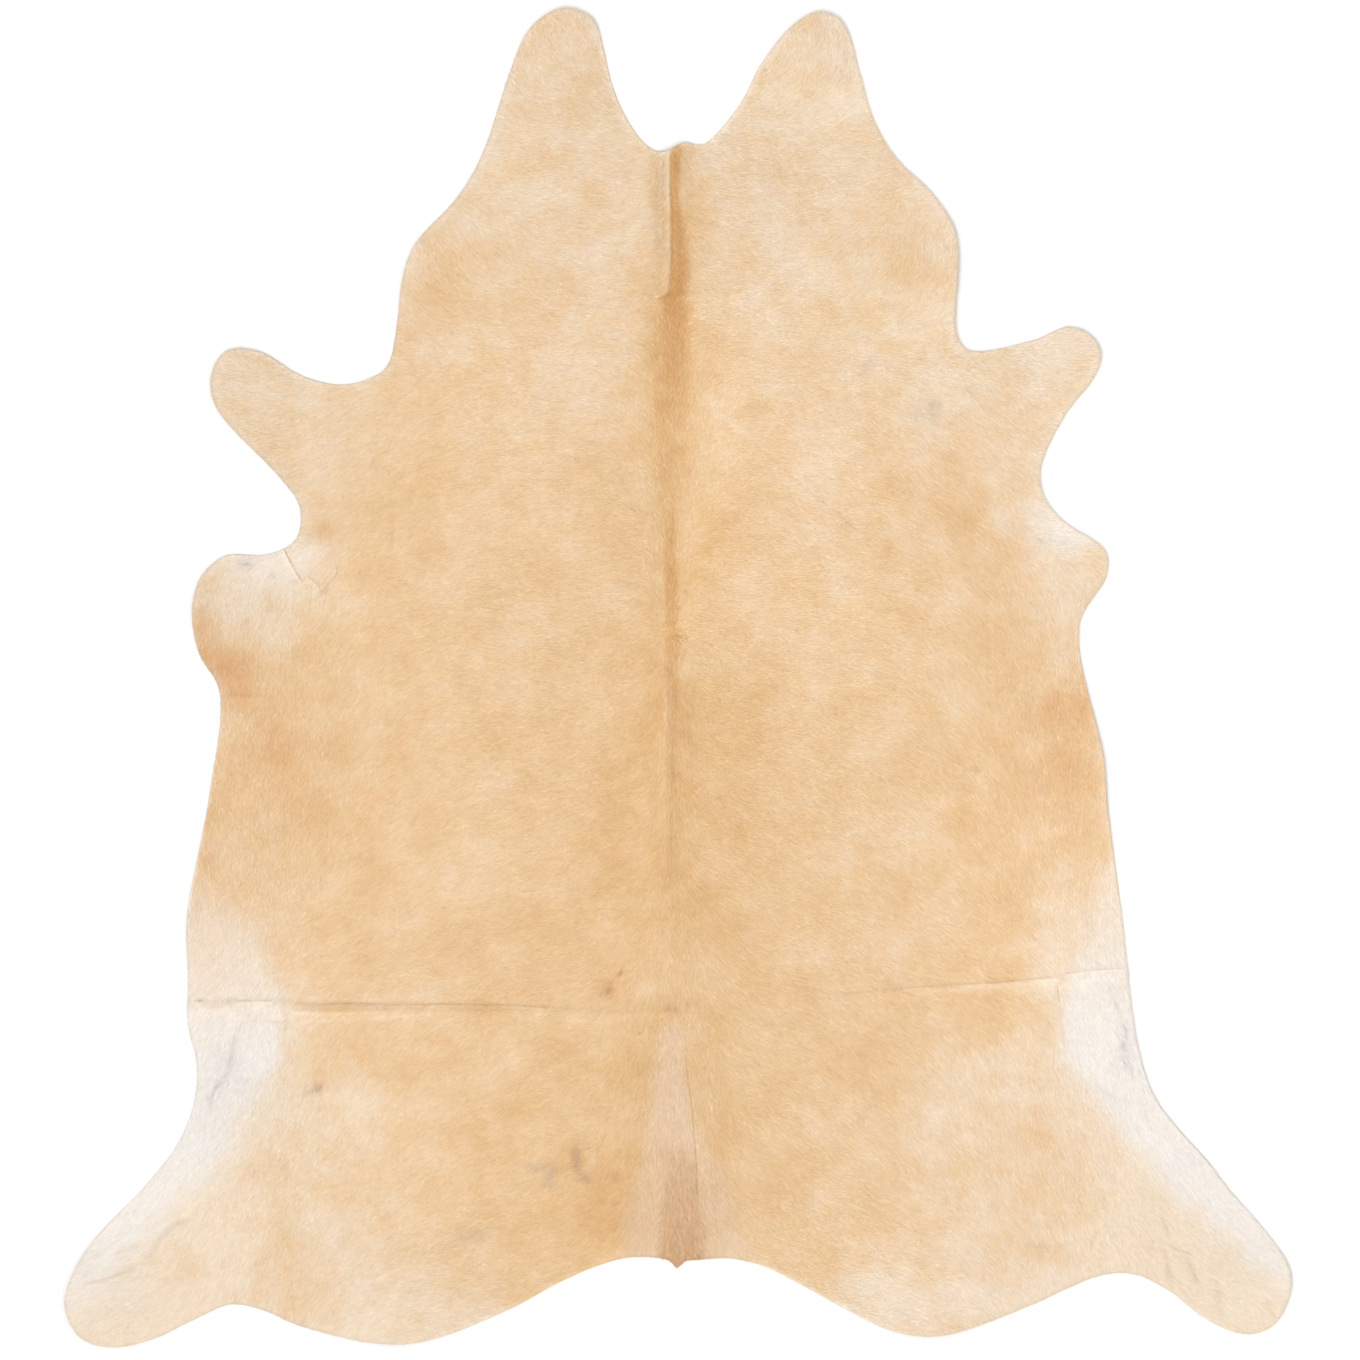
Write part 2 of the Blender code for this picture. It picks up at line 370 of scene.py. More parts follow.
# the folds are sharper than the frame's: half-width, how far the whole hide sinks, places along it
foldTrims = (
    (10, -1.3, ((-33, 2060), (-33, 1980), (-33, 1900), (-34, 1830))),
    (12, -0.7, ((-34, 1830), (-34, 1760), (-36, 1680))),
    (9, -1.1, ((-19, 1170), (-19, 1080), (-18, 960), (-17, 800), (-16, 700))),
    (15, -1.2, ((-860, 570), (-780, 570), (-700, 570))),
    (15, -3.2, ((-740, 570), (-640, 571), (-520, 570), (-420, 568))),
    (14, -2.0, ((-440, 568), (-320, 565), (-230, 562))),
    (9, -0.8, ((-230, 562), (-100, 560))),
    (9, -0.9, ((330, 586), (450, 596), (560, 603), (660, 610), (800, 624))),
    (70, -4.5, ((1010, -40), (1050, 60), (1050, 140), (990, 260))),
    (60, -4.5, ((730, 1780), (740, 1700), (700, 1600))),
    (60, -4.5, ((220, 2330), (290, 2270), (320, 2160))),
)


def alongLine(x, y, places, reach):
    # which points are near the line, how far off it, and how far from its nearer end
    line = np.array([place(*spot) for spot in places])
    low = line.min(axis=0) - reach
    high = line.max(axis=0) + reach
    near = np.flatnonzero((x > low[0]) & (x < high[0]) & (y > low[1]) & (y < high[1]))
    spots = np.stack([x[near], y[near]], axis=1)
    best = np.full(len(near), np.inf)
    run = np.zeros(len(near))
    start = 0.0
    for a, b in zip(line[:-1], line[1:]):
        way = b - a
        length = np.linalg.norm(way)
        share = np.clip((spots - a) @ way / length ** 2, 0, 1)
        distance = np.linalg.norm(spots - a - share[:, None] * way, axis=1)
        closer = distance < best
        best[closer] = distance[closer]
        run[closer] = start + share[closer] * length
        start += length
    return near, best, np.minimum(run, start - run), start


def creaseSums(x, y, lines, column=1):
    # the lines' height, in metres, or their painted shade (below 0, painted light) at these points
    total = np.zeros(len(x))
    for crease in lines:
        half = crease[0] * mm
        near, distance, fromEnd, length = alongLine(x, y, crease[-1], lineReach * half)
        runOut = fromEnd / min(surfaceLook["creaseTaper"], length / 2)
        taper = smoothStep(-surfaceLook["creaseEnd"], 1, runOut)
        total[near] += crease[column] * taper * np.exp(-(distance / half) ** 2)
    return total * (mm if column == 1 else 1)


def undersideAt(x, y):
    return np.maximum(underside.at(x, y) + foldDepth.at(x, y), 0.0)


def leatherTopAt(x, y):
    look = surfaceLook
    height = hairTop.at(x, y) - look["hairDepth"] + foldDepth.at(x, y)
    height = height + look["ripple"] * lumps(x, y, look["rippleSize"], seeds["ripple"])
    height = height + look["pucker"] * lumps(x, y, look["puckerSize"], seeds["pucker"])
    height = height + creaseSums(x, y, creases)
    return np.maximum(height, undersideAt(x, y) + look["leastLeather"])


def sinkFolds():
    field = Field(surfaceLook["foldStep"])
    x, y = np.meshgrid(field.xs, field.ys)
    field.values = creaseSums(x.ravel(), y.ravel(), foldTrims).reshape(x.shape)
    return field


foldDepth = sinkFolds()


layLook = {
    "layStep": 0.015,
    "fineStep": 0.0022,  # the streaks' grids, and how many steps each streak reaches
    "fineReach": 3,
    "tuftStep": 0.005,
    "tuftReach": 4,
    "strongest": 1.5,
}
# The way the hair lies, in degrees from straight out: + turns towards the head and - towards the
# tail. The columns are mm out from the spine, and each row is mm forward of the hind end.
layColumns = (0, 60, 150, 300, 450, 580, 690, 900)
layRows = {
    116: (-90, -60, -18, -12, -15, -52, -78, -30),
    290: (-90, -70, -28, -25, -40, -62, -66, -50),
    463: (-90, -70, -25, -32, -50, -65, -70, -65),
    637: (-90, -50, -20, -20, -20, -22, -70, -30),
    810: (-90, -25, -20, -27, -35, -60, -88, -120),
    983: (-90, -18, -12, -10, -35, -65, -84, -100),
    1157: (-90, -20, -4, 0, -30, -62, -82, -90),
    1272: (90, 0, 3, 8, -15, -60, -85, -60),
    1388: (90, 20, -10, -15, -32, -45, 30, 30),
    1504: (90, 45, 0, -5, -35, -38, 0, 10),
    1619: (90, 60, 0, -12, -25, -30, 0, 20),
    1735: (90, -8, 10, 3, 30, 20, 10, 0),
    1778: (90, -10, 8, 20, 50, 45, 40, 35),
    1800: (-75, -8, 7, 28, 60, 60, 60, 60),
    1850: (-62, -8, 5, 45, 80, 85, 85, 85),
    2024: (-75, -10, -8, -5, -30, -40, -40, -40),
    2240: (90, 60, 60, 105, 110, 110, 110, 110),
}


def readHairLay():
    acrossLay = Field(layLook["layStep"])
    forwardLay = Field(layLook["layStep"])
    x, y = np.meshgrid(acrossLay.xs, acrossLay.ys)
    out = np.abs(x - spineX) / mm
    forward = (y - hindEnd) / mm
    angles = np.radians(np.array(list(layRows.values()), dtype=float))
    row = np.interp(forward, list(layRows), np.arange(len(layRows)))
    column = np.interp(out, layColumns, np.arange(len(layColumns)))
    j = np.minimum(row.astype(int), len(layRows) - 2)
    i = np.minimum(column.astype(int), len(layColumns) - 2)
    v = row - j
    u = column - i

    def blend(values):
        low = values[j, i] * (1 - u) + values[j, i + 1] * u
        high = values[j + 1, i] * (1 - u) + values[j + 1, i + 1] * u
        return low * (1 - v) + high * v

    side = np.where(x < spineX, -1.0, 1.0)
    acrossLay.values = blend(np.cos(angles)) * side
    forwardLay.values = blend(np.sin(angles))
    return acrossLay, forwardLay


acrossLay, forwardLay = readHairLay()


def hairWay(x, y):
    across = acrossLay.at(x, y)
    forward = forwardLay.at(x, y)
    size = np.maximum(np.hypot(across, forward), 1e-6)
    return across / size, forward / size


def streaks(seed, step, reach):
    # random streaks that run the way the hair lies, about -1 to 1
    field = Field(step)
    draw = np.random.default_rng(seed).standard_normal(field.values.shape)
    rows, columns = field.values.shape
    x0, y0 = np.meshgrid(field.xs, field.ys)
    total = draw.copy()
    for sense in (1, -1):
        x = x0.copy()
        y = y0.copy()
        for _ in range(reach):
            across, forward = hairWay(x, y)
            x += sense * step * across
            y += sense * step * forward
            i = np.clip(np.round((x - field.lowX) / step).astype(int), 0, columns - 1)
            j = np.clip(np.round((y - field.lowY) / step).astype(int), 0, rows - 1)
            total += draw[j, i]
    field.values = np.clip(total / total.std() / 2, -layLook["strongest"], layLook["strongest"])
    return field


fineStreaks = streaks(seeds["fineStreaks"], layLook["fineStep"], layLook["fineReach"])
tuftStreaks = streaks(seeds["tuftStreaks"], layLook["tuftStep"], layLook["tuftReach"])
print("laid out the hair's lay and streaks")


# The coat's colours. Depth is about 0 for cream, 0.5 for sand, 1 for tan and 1.65 for the brown of
# the stripe.
coatLook = {
    "depth": 0.54,
    "depthRange": (-0.4, 1.9),
    "depthStops": ((-0.1, "cream"), (0.5, "sand"), (1.0, "tan"), (1.65, "brown")),
    "cream": (244, 227, 204),
    "sand": (239, 209, 168),
    "tan": (232, 195, 144),
    "brown": (217, 168, 109),
    "rust": (231, 184, 133),
    "white": (246, 240, 233),
    "pink": (239, 214, 189),
    "tail": (213, 171, 127),
    "darkMark": (186, 120, 72),
    "greyMark": (140, 138, 144),
    # painted shade for creases, and painted light for lit ridges that also colours the pale scars
    "paintedCreaseShade": (190, 140, 92),
    "paleScarsAndPaintedLight": (252, 243, 229),
    "border": 8 * mm,  # how far the borders of soft patches wander
    "borderSize": 0.05,
    "fineBorder": 3.5 * mm,
    "fineBorderSize": 0.013,
    "cloudSize": 0.1,
    "cloudDetail": 4.0,
    "cloudRoughness": 0.74,
    "cloud": 1.75,
    "fleckSize": 0.007,
    "fleckDetail": 2.0,
    "fleck": 0.16,
    "hairByHair": 0.05,
    "stripeHairs": 0.4,  # as the last, in the spine's stripe and the tail
    "stripeReach": 1.2,
    "streak": 0.017,
    "tuftStreak": 0.012,
    "ownShade": 0.042,
    "rimTone": -0.25,  # depth near the edge of the hide
    "rimToneFrom": 0.002,
    "rimToneTo": 0.014,
    "rimPaintedShade": -0.12,  # painted shade: how much darker the last hairs before the edge are, a shaded line along it
    "rimPaintedShadeTo": 0.0035,
    "markUneven": 0.5,
    "markUnevenSize": 0.008,
    "creaseUneven": 0.45,
    "creaseUnevenSize": 0.013,
    "creaseStrength": 0.85,
    # how far the clouds uneven the rust and the white, and the flecks the other colours
    "uneven": {
        "rust": 2.5,
        "white": 5.0,
        "pink": 1.2,
        "tail": 2.5,
        "darkMark": 2.0,
        "greyMark": 2.5,
    },
    "paintedCreaseShadeShare": 0.7,
    "paleScarsAndPaintedLightShare": 0.6,
    "undercoatPaintedShade": 0.1,  # painted shade: how much darker the leather is painted than the hair on it, for the shade among the locks
    "undercoatRoughness": 0.75,
    "hairRoughness": 0.55,
    "fleckRoughness": 0.2,
    "specular": 0.25,
    "sheen": 0.12,
    "sheenRoughness": 0.45,
    "bump": 0.15,
    "bumpDepth": 0.0002,
}

# right, forward, half-width, half-length, depth, and the turn in degrees if there is one
clouds = (
    (0, 2080, 560, 480, -0.36),
    (-30, 560, 230, 520, 0.26),
    (20, 1070, 150, 130, 0.26),
    (-110, 850, 130, 130, 0.22, 20),
    (-330, 700, 130, 50, 0.2, 15),
    (-640, 960, 150, 260, 0.16),
    (650, 980, 110, 230, 0.16),
    (-500, 1440, 60, 110, 0.3),
    (-430, 1590, 90, 90, 0.12, 30),
    (460, 1460, 110, 110, 0.16),
    (-590, 400, 130, 120, -0.26),
    (530, 480, 110, 90, -0.2),
    (-830, 160, 220, 150, -0.42, 30),
    (850, 190, 230, 140, -0.42, -35),
    (450, 120, 170, 80, -0.22, 15),
    (-560, 120, 150, 80, -0.12, -10),
    (260, 1500, 220, 220, -0.08),
    (-150, 1640, 110, 110, -0.14),
    (-690, 1640, 140, 80, -0.25, -20),
    (640, 1640, 160, 100, -0.36, 20),
    (-720, 1260, 110, 80, -0.3),
    (660, 1330, 90, 90, -0.3),
    (440, 800, 90, 130, -0.14, 10),
    (-400, 840, 160, 90, -0.1, 15),
    (-420, 1830, 60, 90, 0.22),
    (400, 1830, 80, 50, 0.12),
    (-85, 1580, 55, 200, 0.22),
    (75, 1430, 55, 170, 0.26),
    # partly painted shade on the lit flank of the neck's fold, partly darker hair there
    (-31, 1935, 19, 150, 0.42),
    (-50, 1745, 16, 60, 0.4, 12),
    (36, 1940, 20, 110, 0.22),
    (40, 1370, 22, 90, 0.28),
    (48, 1308, 26, 16, 0.3, -20),
    (-34, 1306, 14, 12, -0.3),
    (-44, 1240, 18, 100, 0.26),
    (-44, 1000, 20, 140, 0.14),
    (-13, 1216, 13, 20, 0.25),
    (-75, 1350, 40, 50, 0.2),
    (-48, 606, 34, 14, -0.45),
    (-66, 560, 50, 30, -0.2),
    (128, 1594, 24, 22, 0.3),
    (74, 1385, 17, 50, 0.36, -35),
    (390, 1246, 26, 26, 0.35, -30),
    (362, 1350, 14, 24, 0.28, -20),
    (490, 1395, 24, 44, 0.2),
    (60, 1660, 26, 70, 0.28),
    (-280, 1040, 60, 60, 0.3),
    (-500, 900, 70, 50, 0.12),
    (90, 960, 50, 120, 0.2),
    (480, 850, 50, 100, 0.22),
    (430, 1000, 80, 60, 0.14),
    (510, 560, 90, 60, 0.28),
    (450, 690, 60, 60, 0.16),
    (-680, 1245, 70, 36, 0.12),
    (395, 1825, 50, 34, 0.26),
    (-200, 2200, 45, 40, 0.2),
    (230, 2160, 50, 60, 0.12),
    (560, 1180, 70, 60, 0.12),
    (-62, 240, 36, 90, 0.3),
    (66, 220, 40, 90, 0.4),
    (-606, 1390, 24, 24, 0.7),
    (-640, 250, 70, 60, -0.2),
    (-540, 110, 70, 50, -0.2),
    (320, 105, 80, 40, -0.25, 10),
    (440, 380, 60, 60, -0.15),
    (545, 232, 45, 40, -0.3),
    (620, 165, 60, 40, -0.25),
    (640, 85, 90, 30, -0.5, 10),
    (738, 790, 20, 130, -0.45),
    (-330, 2050, 34, 100, -0.25, -20),
    (-450, 1850, 26, 80, -0.3),
    (220, 1830, 50, 40, -0.28),
    (300, 1600, 70, 50, -0.2),
    (-480, 1460, 40, 50, -0.12),
    (660, 1690, 60, 40, -0.15),
    (-745, 1640, 60, 40, -0.15),
    (0, 800, 14, 30, -0.2),
    (-10, 700, 16, 40, -0.2),
    (-220, 800, 50, 60, -0.15),
    (300, 850, 60, 50, -0.15),
    (-110, 1690, 30, 40, -0.25),
    (-400, 990, 240, 150, -0.06),
    (-520, 980, 200, 300, 0.04),
    (400, 1150, 300, 150, -0.05),
    (450, 170, 250, 60, -0.05, 5),
    (-480, 200, 160, 160, -0.12),
    (480, 380, 70, 50, -0.25),
    (-900, 55, 150, 50, -0.35),
    (-700, 410, 40, 110, -0.35, -20),
    (-855, 265, 110, 40, -0.35, 48),
    (-720, 640, 40, 50, -0.25),
    (-650, 1230, 60, 40, -0.1),
    (655, 1230, 40, 70, -0.45),
    (-470, 1530, 50, 90, -0.15),
    (90, 200, 60, 60, -0.1),
    (300, 60, 200, 60, -0.25, 15),
    (-330, 60, 160, 60, -0.15, -15),
    (-260, 840, 50, 60, -0.15),
    (560, 470, 100, 60, -0.15),
    (-230, 300, 160, 140, 0.2),
    (-120, 215, 90, 60, 0.3),
    (640, 600, 45, 180, -0.5),
    (800, 300, 200, 60, -0.55, -46),
    (-830, 300, 200, 55, -0.5, 48),
    (-655, 610, 35, 110, -0.32),
    (450, 75, 130, 50, -0.5, 5),
    (430, 320, 130, 90, -0.22),
    (-480, 55, 100, 40, -0.3),
    (-985, 65, 70, 50, -0.55, 20),
    (960, 60, 80, 50, -0.35, -20),
    (-690, 1285, 110, 60, -0.5),
    (-620, 1540, 110, 90, -0.3, -20),
    (430, 1700, 70, 70, -0.3),
    (560, 1670, 120, 40, -0.2, 10),
    (350, 1830, 90, 90, -0.15),
    (280, 2090, 60, 80, -0.2),
    (440, 1900, 40, 60, -0.2),
    (612, 1420, 40, 80, -0.25),
    (-220, 2200, 80, 60, -0.15),
    (265, 2200, 60, 90, -0.2),
    (-730, 780, 45, 150, -0.25),
    (690, 740, 45, 60, -0.4),
    (560, 1480, 150, 110, -0.12),
    (700, 110, 110, 50, -0.42),
    (590, 700, 120, 180, -0.06),
    # painted light on the shaded right flank of the spine's ridge
    (14, 1150, 10, 60, -0.28),
    (628, 156, 34, 20, 0.5),
    (-940, 30, 110, 34, -0.4),
    (-12, 1560, 26, 20, 0.1),
    (-11, 1100, 9, 40, -0.28),
    (-12, 1510, 14, 40, -0.14),
    (-450, 850, 40, 60, 0.12),
    (-800, 190, 50, 50, -0.3, 40),
    (-480, 30, 180, 30, -0.25),
    (380, 140, 90, 60, 0.2),
    (600, 180, 40, 30, 0.15),
    (480, 270, 120, 36, -0.18),
    (290, 320, 60, 60, -0.1),
    (420, 1560, 60, 60, -0.25),
    (-260, 1120, 40, 60, -0.2),
    (-310, 1900, 60, 60, -0.15),
    (110, 1860, 80, 90, 0.12),
    (-700, 1200, 40, 30, -0.12),
    (-80, 1000, 36, 120, 0.16),
    (-8, 640, 26, 40, -0.25),
    (30, 1400, 16, 40, -0.28),
    (-54, 1985, 18, 60, 0.25),
    (-10, 860, 14, 120, -0.14),
    (-85, 480, 24, 50, 0.2),
    (68, 480, 20, 40, 0.25),
    (800, 190, 80, 80, -0.26),
    (870, 50, 130, 50, -0.42),
    (-44, 2010, 14, 60, 0.2),
    (100, 760, 70, 80, 0.12),
    (340, 400, 130, 80, 0.1),
    (-300, 50, 120, 50, -0.12),
    (-450, 1660, 70, 60, -0.12),
)

# the same, with how much lighter or darker the hair is all over, darker toward the head end; the
# rows along the neck's fold are painted shade on its lit flank and painted light on its shaded
# flank
paintedShadeAndTone = (
    (60, 2160, 420, 330, -0.055),
    (330, 1850, 280, 170, -0.04),
    (-710, 1600, 240, 240, -0.045),
    (620, 1690, 190, 80, -0.04),
    (580, 800, 200, 340, 0.045),
    (-790, 400, 140, 120, -0.04),
    (-800, 1240, 120, 150, -0.04),
    (-930, 90, 200, 120, -0.03),
    (-60, 410, 120, 120, -0.025),
    # painted shade on the lit left flank of the neck's fold
    (-27, 1990, 13, 66, -0.13),
    (-27, 1860, 13, 78, -0.12),
    (62, 230, 34, 80, -0.05),
    (-72, 195, 34, 70, -0.045),
    # painted light on the shaded right flank of the neck's fold
    (8, 1930, 18, 110, 0.075),
    (850, 110, 120, 110, -0.015),
    (-280, 50, 130, 60, -0.03),
    (270, 50, 120, 50, -0.035),
    (-560, 150, 150, 130, -0.03),
)

# right, forward, half-width, half-length, strength, turn
rustPatches = (
    (-802, 1188, 24, 66, 0.5, 28),
    (-758, 1144, 40, 36, 0.62, 40),
    (-738, 1100, 34, 26, 0.5, 5),
    (-690, 1012, 36, 38, 0.55),
    (-650, 960, 70, 80, 0.22, 20),
    (-745, 1000, 22, 40, 0.25),
    (-815, 870, 26, 60, 0.3, 5),
    (648, 1085, 26, 26, 0.6),
    (695, 1085, 18, 36, 0.45, -10),
    (665, 1000, 34, 30, 0.42),
    (650, 950, 50, 70, 0.2),
    (690, 1150, 10, 50, 0.25, 5),
    (-11, 1230, 11, 110, 0.25),
    (-10, 1020, 10, 120, 0.12),
    (-12, 1690, 26, 70, 0.2),
    (-96, 636, 7, 7, 0.5),
    (-116, 608, 15, 18, 0.4),
)

bandRunOut = 60  # mm that a band goes on behind its last row
# The stripe's edges don't wander along the neck's fold, nor much along the middle of the back.
steadyNeck = (1740, 1810)
steadyBack = (1400, 1330)
backSteadiness = 0.8

# mm forward, then the core's left and right edges, how soft each is, and its depth
stripeCore = (
    (2060, -14, 6, 2, 8, 1.15),
    (1960, -14, 4, 2, 7, 1.1),
    (1930, -12, 6, 2, 8, 1.05),
    (1880, -12, 14, 2, 12, 1.05),
    (1830, -12, 19, 2, 12, 1.1),
    (1800, -15, 14, 5, 12, 1.15),
    (1786, -30, 12, 12, 16, 0.9),
    (1765, -30, 17, 20, 22, 0.84),
    (1710, -30, 18, 22, 26, 0.86),
    (1660, -30, 16, 24, 28, 0.78),
    (1610, -30, 12, 24, 28, 0.5),
    (1550, -30, 8, 22, 24, 0.36),
    (1460, -26, 0, 14, 16, 0.32),
    (1370, -23, -1, 7, 9, 0.5),
    (1300, -22, 2, 5, 7, 0.56),
    (1200, -22, 2, 5, 7, 0.52),
    (1120, -18, 2, 3, 8, 0.26),
    (1060, -18, 2, 4, 10, 0.16),
    (930, -18, 4, 10, 12, 0.16),
    (800, -18, 6, 12, 12, 0.14),
    (690, -16, 4, 12, 12, 0.1),
    (590, -10, 0, 10, 10, 0.0),
)
# the same for the softer tone around it
stripeHalo = (
    (2060, -14, 22, 4, 14, 0.28),
    (1900, -14, 26, 4, 16, 0.3),
    (1820, -22, 30, 14, 16, 0.35),
    (1770, -50, 30, 24, 20, 0.46),
    (1700, -60, 38, 26, 26, 0.56),
    (1620, -52, 40, 26, 28, 0.38),
    (1550, -54, 36, 26, 26, 0.44),
    (1450, -44, 18, 22, 20, 0.36),
    (1360, -42, 18, 22, 20, 0.3),
    (1200, -36, 26, 22, 22, 0.22),
    (1000, -40, 28, 26, 26, 0.2),
    (800, -36, 26, 26, 24, 0.2),
    (650, -30, 20, 22, 22, 0.1),
    (590, -20, 10, 20, 20, 0.0),
)

# mm forward, then where the white starts on the left, its softness, its strength, and the right's
whiteFlanks = (
    (860, -850, 50, 0.0, 780, 50, 0.0),
    (810, -835, 50, 0.1, 750, 50, 0.16),
    (759, -775, 55, 0.34, 724, 46, 0.38),
    (708, -730, 50, 0.46, 696, 44, 0.58),
    (657, -694, 34, 0.54, 670, 34, 0.75),
    (600, -676, 20, 0.64, 654, 20, 0.9),
    (540, -668, 20, 0.9, 654, 20, 1.0),
    (487, -678, 26, 1.0, 664, 32, 1.0),
    (419, -715, 44, 1.0, 705, 46, 1.0),
    (334, -764, 54, 1.0, 776, 50, 1.0),
    (249, -836, 60, 0.95, 862, 50, 1.0),
    (181, -906, 60, 0.8, 936, 50, 0.82),
    (110, -985, 46, 0.6, 1005, 46, 0.75),
    (40, -1030, 40, 0.3, 1045, 40, 0.3),
)

# right, forward, half-width, half-length, strength, turn
whitePatches = (
    (-720, 1345, 90, 34, 0.62),
    (-628, 1348, 44, 24, 0.36, 20),
    (-640, 1425, 20, 44, 0.3, 12),
    (-590, 1412, 36, 16, 0.2),
    (655, 1385, 62, 38, 0.75, -28),
    (545, 1405, 16, 18, 0.35),
    (-960, 120, 90, 60, 0.3, 30),
    (960, 130, 90, 70, 0.2, -35),
    (-695, 1308, 60, 26, 0.25),
)

# mm forward, then the tail streak's left and right edges, how soft each is, and its strength
tailPink = (
    (556, -24, 6, 10, 10, 0.0),
    (535, -30, 8, 12, 8, 0.5),
    (450, -42, 14, 14, 8, 0.6),
    (380, -46, 22, 16, 10, 0.6),
    (300, -68, 78, 18, 20, 0.5),
    (220, -88, 102, 20, 22, 0.46),
    (150, -90, 118, 20, 22, 0.48),
)
tailCore = (
    (350, -12, 24, 12, 12, 0.0),
    (325, -18, 30, 12, 12, 0.3),
    (290, -23, 36, 14, 14, 0.5),
    (220, -28, 42, 14, 14, 0.66),
    (160, -32, 46, 14, 14, 0.85),
    (120, -32, 52, 14, 14, 0.95),
)

# right, forward, half-width, half-length, strength, turn
darkMarks = (
    (-96, 636, 4, 5, 0.55),
    (-115, 603, 5, 4, 0.5),
    (-116, 618, 4, 3, 0.3),
    (-120, 608, 13, 15, 0.2),
    (-12, 571, 15, 7, 0.28, 10),
    (18, 585, 13, 5, 0.22, 5),
    (-812, 589, 6, 4, 0.3),
    (-611, 438, 4, 5, 0.4),
    (-617, 447, 2, 5, 0.3, 20),
    (-604, 436, 4, 2, 0.2),
    (9, 1203, 9, 7, 0.1),
    (148, 2170, 3, 3, 0.5),
    (505, 980, 9, 6, 0.18),
    (72, 930, 7, 5, 0.16),
    (-108, 286, 12, 9, 0.2),
    (-176, 322, 10, 18, 0.24),
    (-160, 288, 12, 9, 0.18, -40),
    (-216, 300, 30, 10, 0.1),
    (-245, 300, 14, 6, 0.14, 20),
    (75, 1412, 8, 12, 0.14, -30),
    (662, 1368, 2.5, 2.5, 0.5),
    (620, 1368, 2.5, 2.5, 0.4),
    (-601, 1283, 6, 6, 0.3),
)
greyMarks = (
    (-614, 438, 9, 9, 0.2),
    (-632, 430, 13, 7, 0.09, 20),
    (-252, 308, 12, 6, 0.16),
    (-217, 288, 8, 16, 0.21, -6),
    (-231, 298, 9, 5, 0.14),
    (-224, 273, 10, 5, 0.16),
    (-200, 306, 16, 5, 0.1),
    (-174, 326, 8, 13, 0.1, -10),
    (-157, 338, 7, 8, 0.14),
    (-173, 306, 8, 13, 0.19, 8),
    (-162, 290, 11, 8, 0.2, -45),
    (-149, 281, 10, 6, 0.18, -10),
    (-353, 190, 30, 18, 0.14),
    (420, 1583, 20, 16, 0.17),
    (440, 1600, 12, 8, 0.12),
    (386, 1456, 16, 8, 0.12, 10),
    (326, 1668, 16, 10, 0.14, 50),
    (-735, 1330, 12, 10, 0.26),
    (-690, 1311, 6, 5, 0.26),
    (-650, 1298, 7, 4, 0.22),
    (640, 1372, 44, 14, 0.06, -20),
    (-760, 470, 26, 46, 0.07, 20),
    (762, 500, 16, 46, 0.05, -10),
)

veinTaper = 0.02  # veins and scars run out over this length
veinEnd = 0.4  # how blunt their ends are
# half-width, strength, places along it
veins = (
    (3.4, 0.15, ((-742, 548), (-755, 526), (-759, 498), (-764, 470), (-778, 448))),
    (8.0, 0.05, ((-750, 540), (-766, 480), (-790, 420))),
    (3.6, 0.22, ((-772, 452), (-786, 438), (-794, 420), (-794, 398))),
    (3.0, 0.12, ((-792, 440), (-801, 418), (-800, 404))),
    (2.4, 0.16, ((735, 603), (748, 575), (757, 548))),
    (9.0, 0.03, ((750, 560), (762, 510), (770, 450))),
    (2.2, 0.24, ((756, 552), (764, 532), (758, 514), (764, 492))),
    (2.0, 0.2, ((757, 520), (753, 502), (760, 482), (768, 462))),
    (2.0, 0.2, ((764, 496), (772, 472), (774, 448))),
    (2.0, 0.1, ((700, 448), (735, 426), (765, 414), (790, 412))),
)
lightScars = (
    (11, 0.44, ((48, 1628), (58, 1606), (70, 1586), (88, 1573), (108, 1562), (124, 1554))),
    (7, 0.3, ((-150, 304), (-144, 318), (-148, 330))),
)


patchReach = 2.6  # half-lengths from its centre at which a patch has run out


def softPatches(x, y, patches):
    total = np.zeros(len(x))
    for right, forward, halfWidth, halfLength, strength, *turn in patches:
        centreX, centreY = place(right, forward)
        reach = patchReach * max(halfWidth, halfLength) * mm
        near = np.flatnonzero((np.abs(x - centreX) < reach) & (np.abs(y - centreY) < reach))
        a = math.radians(turn[0] if turn else 0)
        dx = x[near] - centreX
        dy = y[near] - centreY
        u = (dx * math.cos(a) + dy * math.sin(a)) / (halfWidth * mm)
        v = (dy * math.cos(a) - dx * math.sin(a)) / (halfLength * mm)
        total[near] += strength * np.exp(-(u * u + v * v))
    return total


def column(rows, n, forward):
    ordered = sorted(rows)
    return np.interp(forward, [row[0] for row in ordered], [row[n] for row in ordered])


def softBand(x, y, rows):
    # a band between two edges that change along the hide
    forward = (y - hindEnd) / mm
    right = x / mm
    columns = [column(rows, n, forward) for n in range(1, 6)]
    leftEdge, rightEdge, softLeft, softRight, strength = columns
    inside = smoothStep(-softLeft, softLeft, right - leftEdge)
    inside = inside * smoothStep(-softRight, softRight, rightEdge - right)
    first = max(row[0] for row in rows)
    last = min(row[0] for row in rows) - bandRunOut
    return inside * strength * ((forward <= first) & (forward >= last))


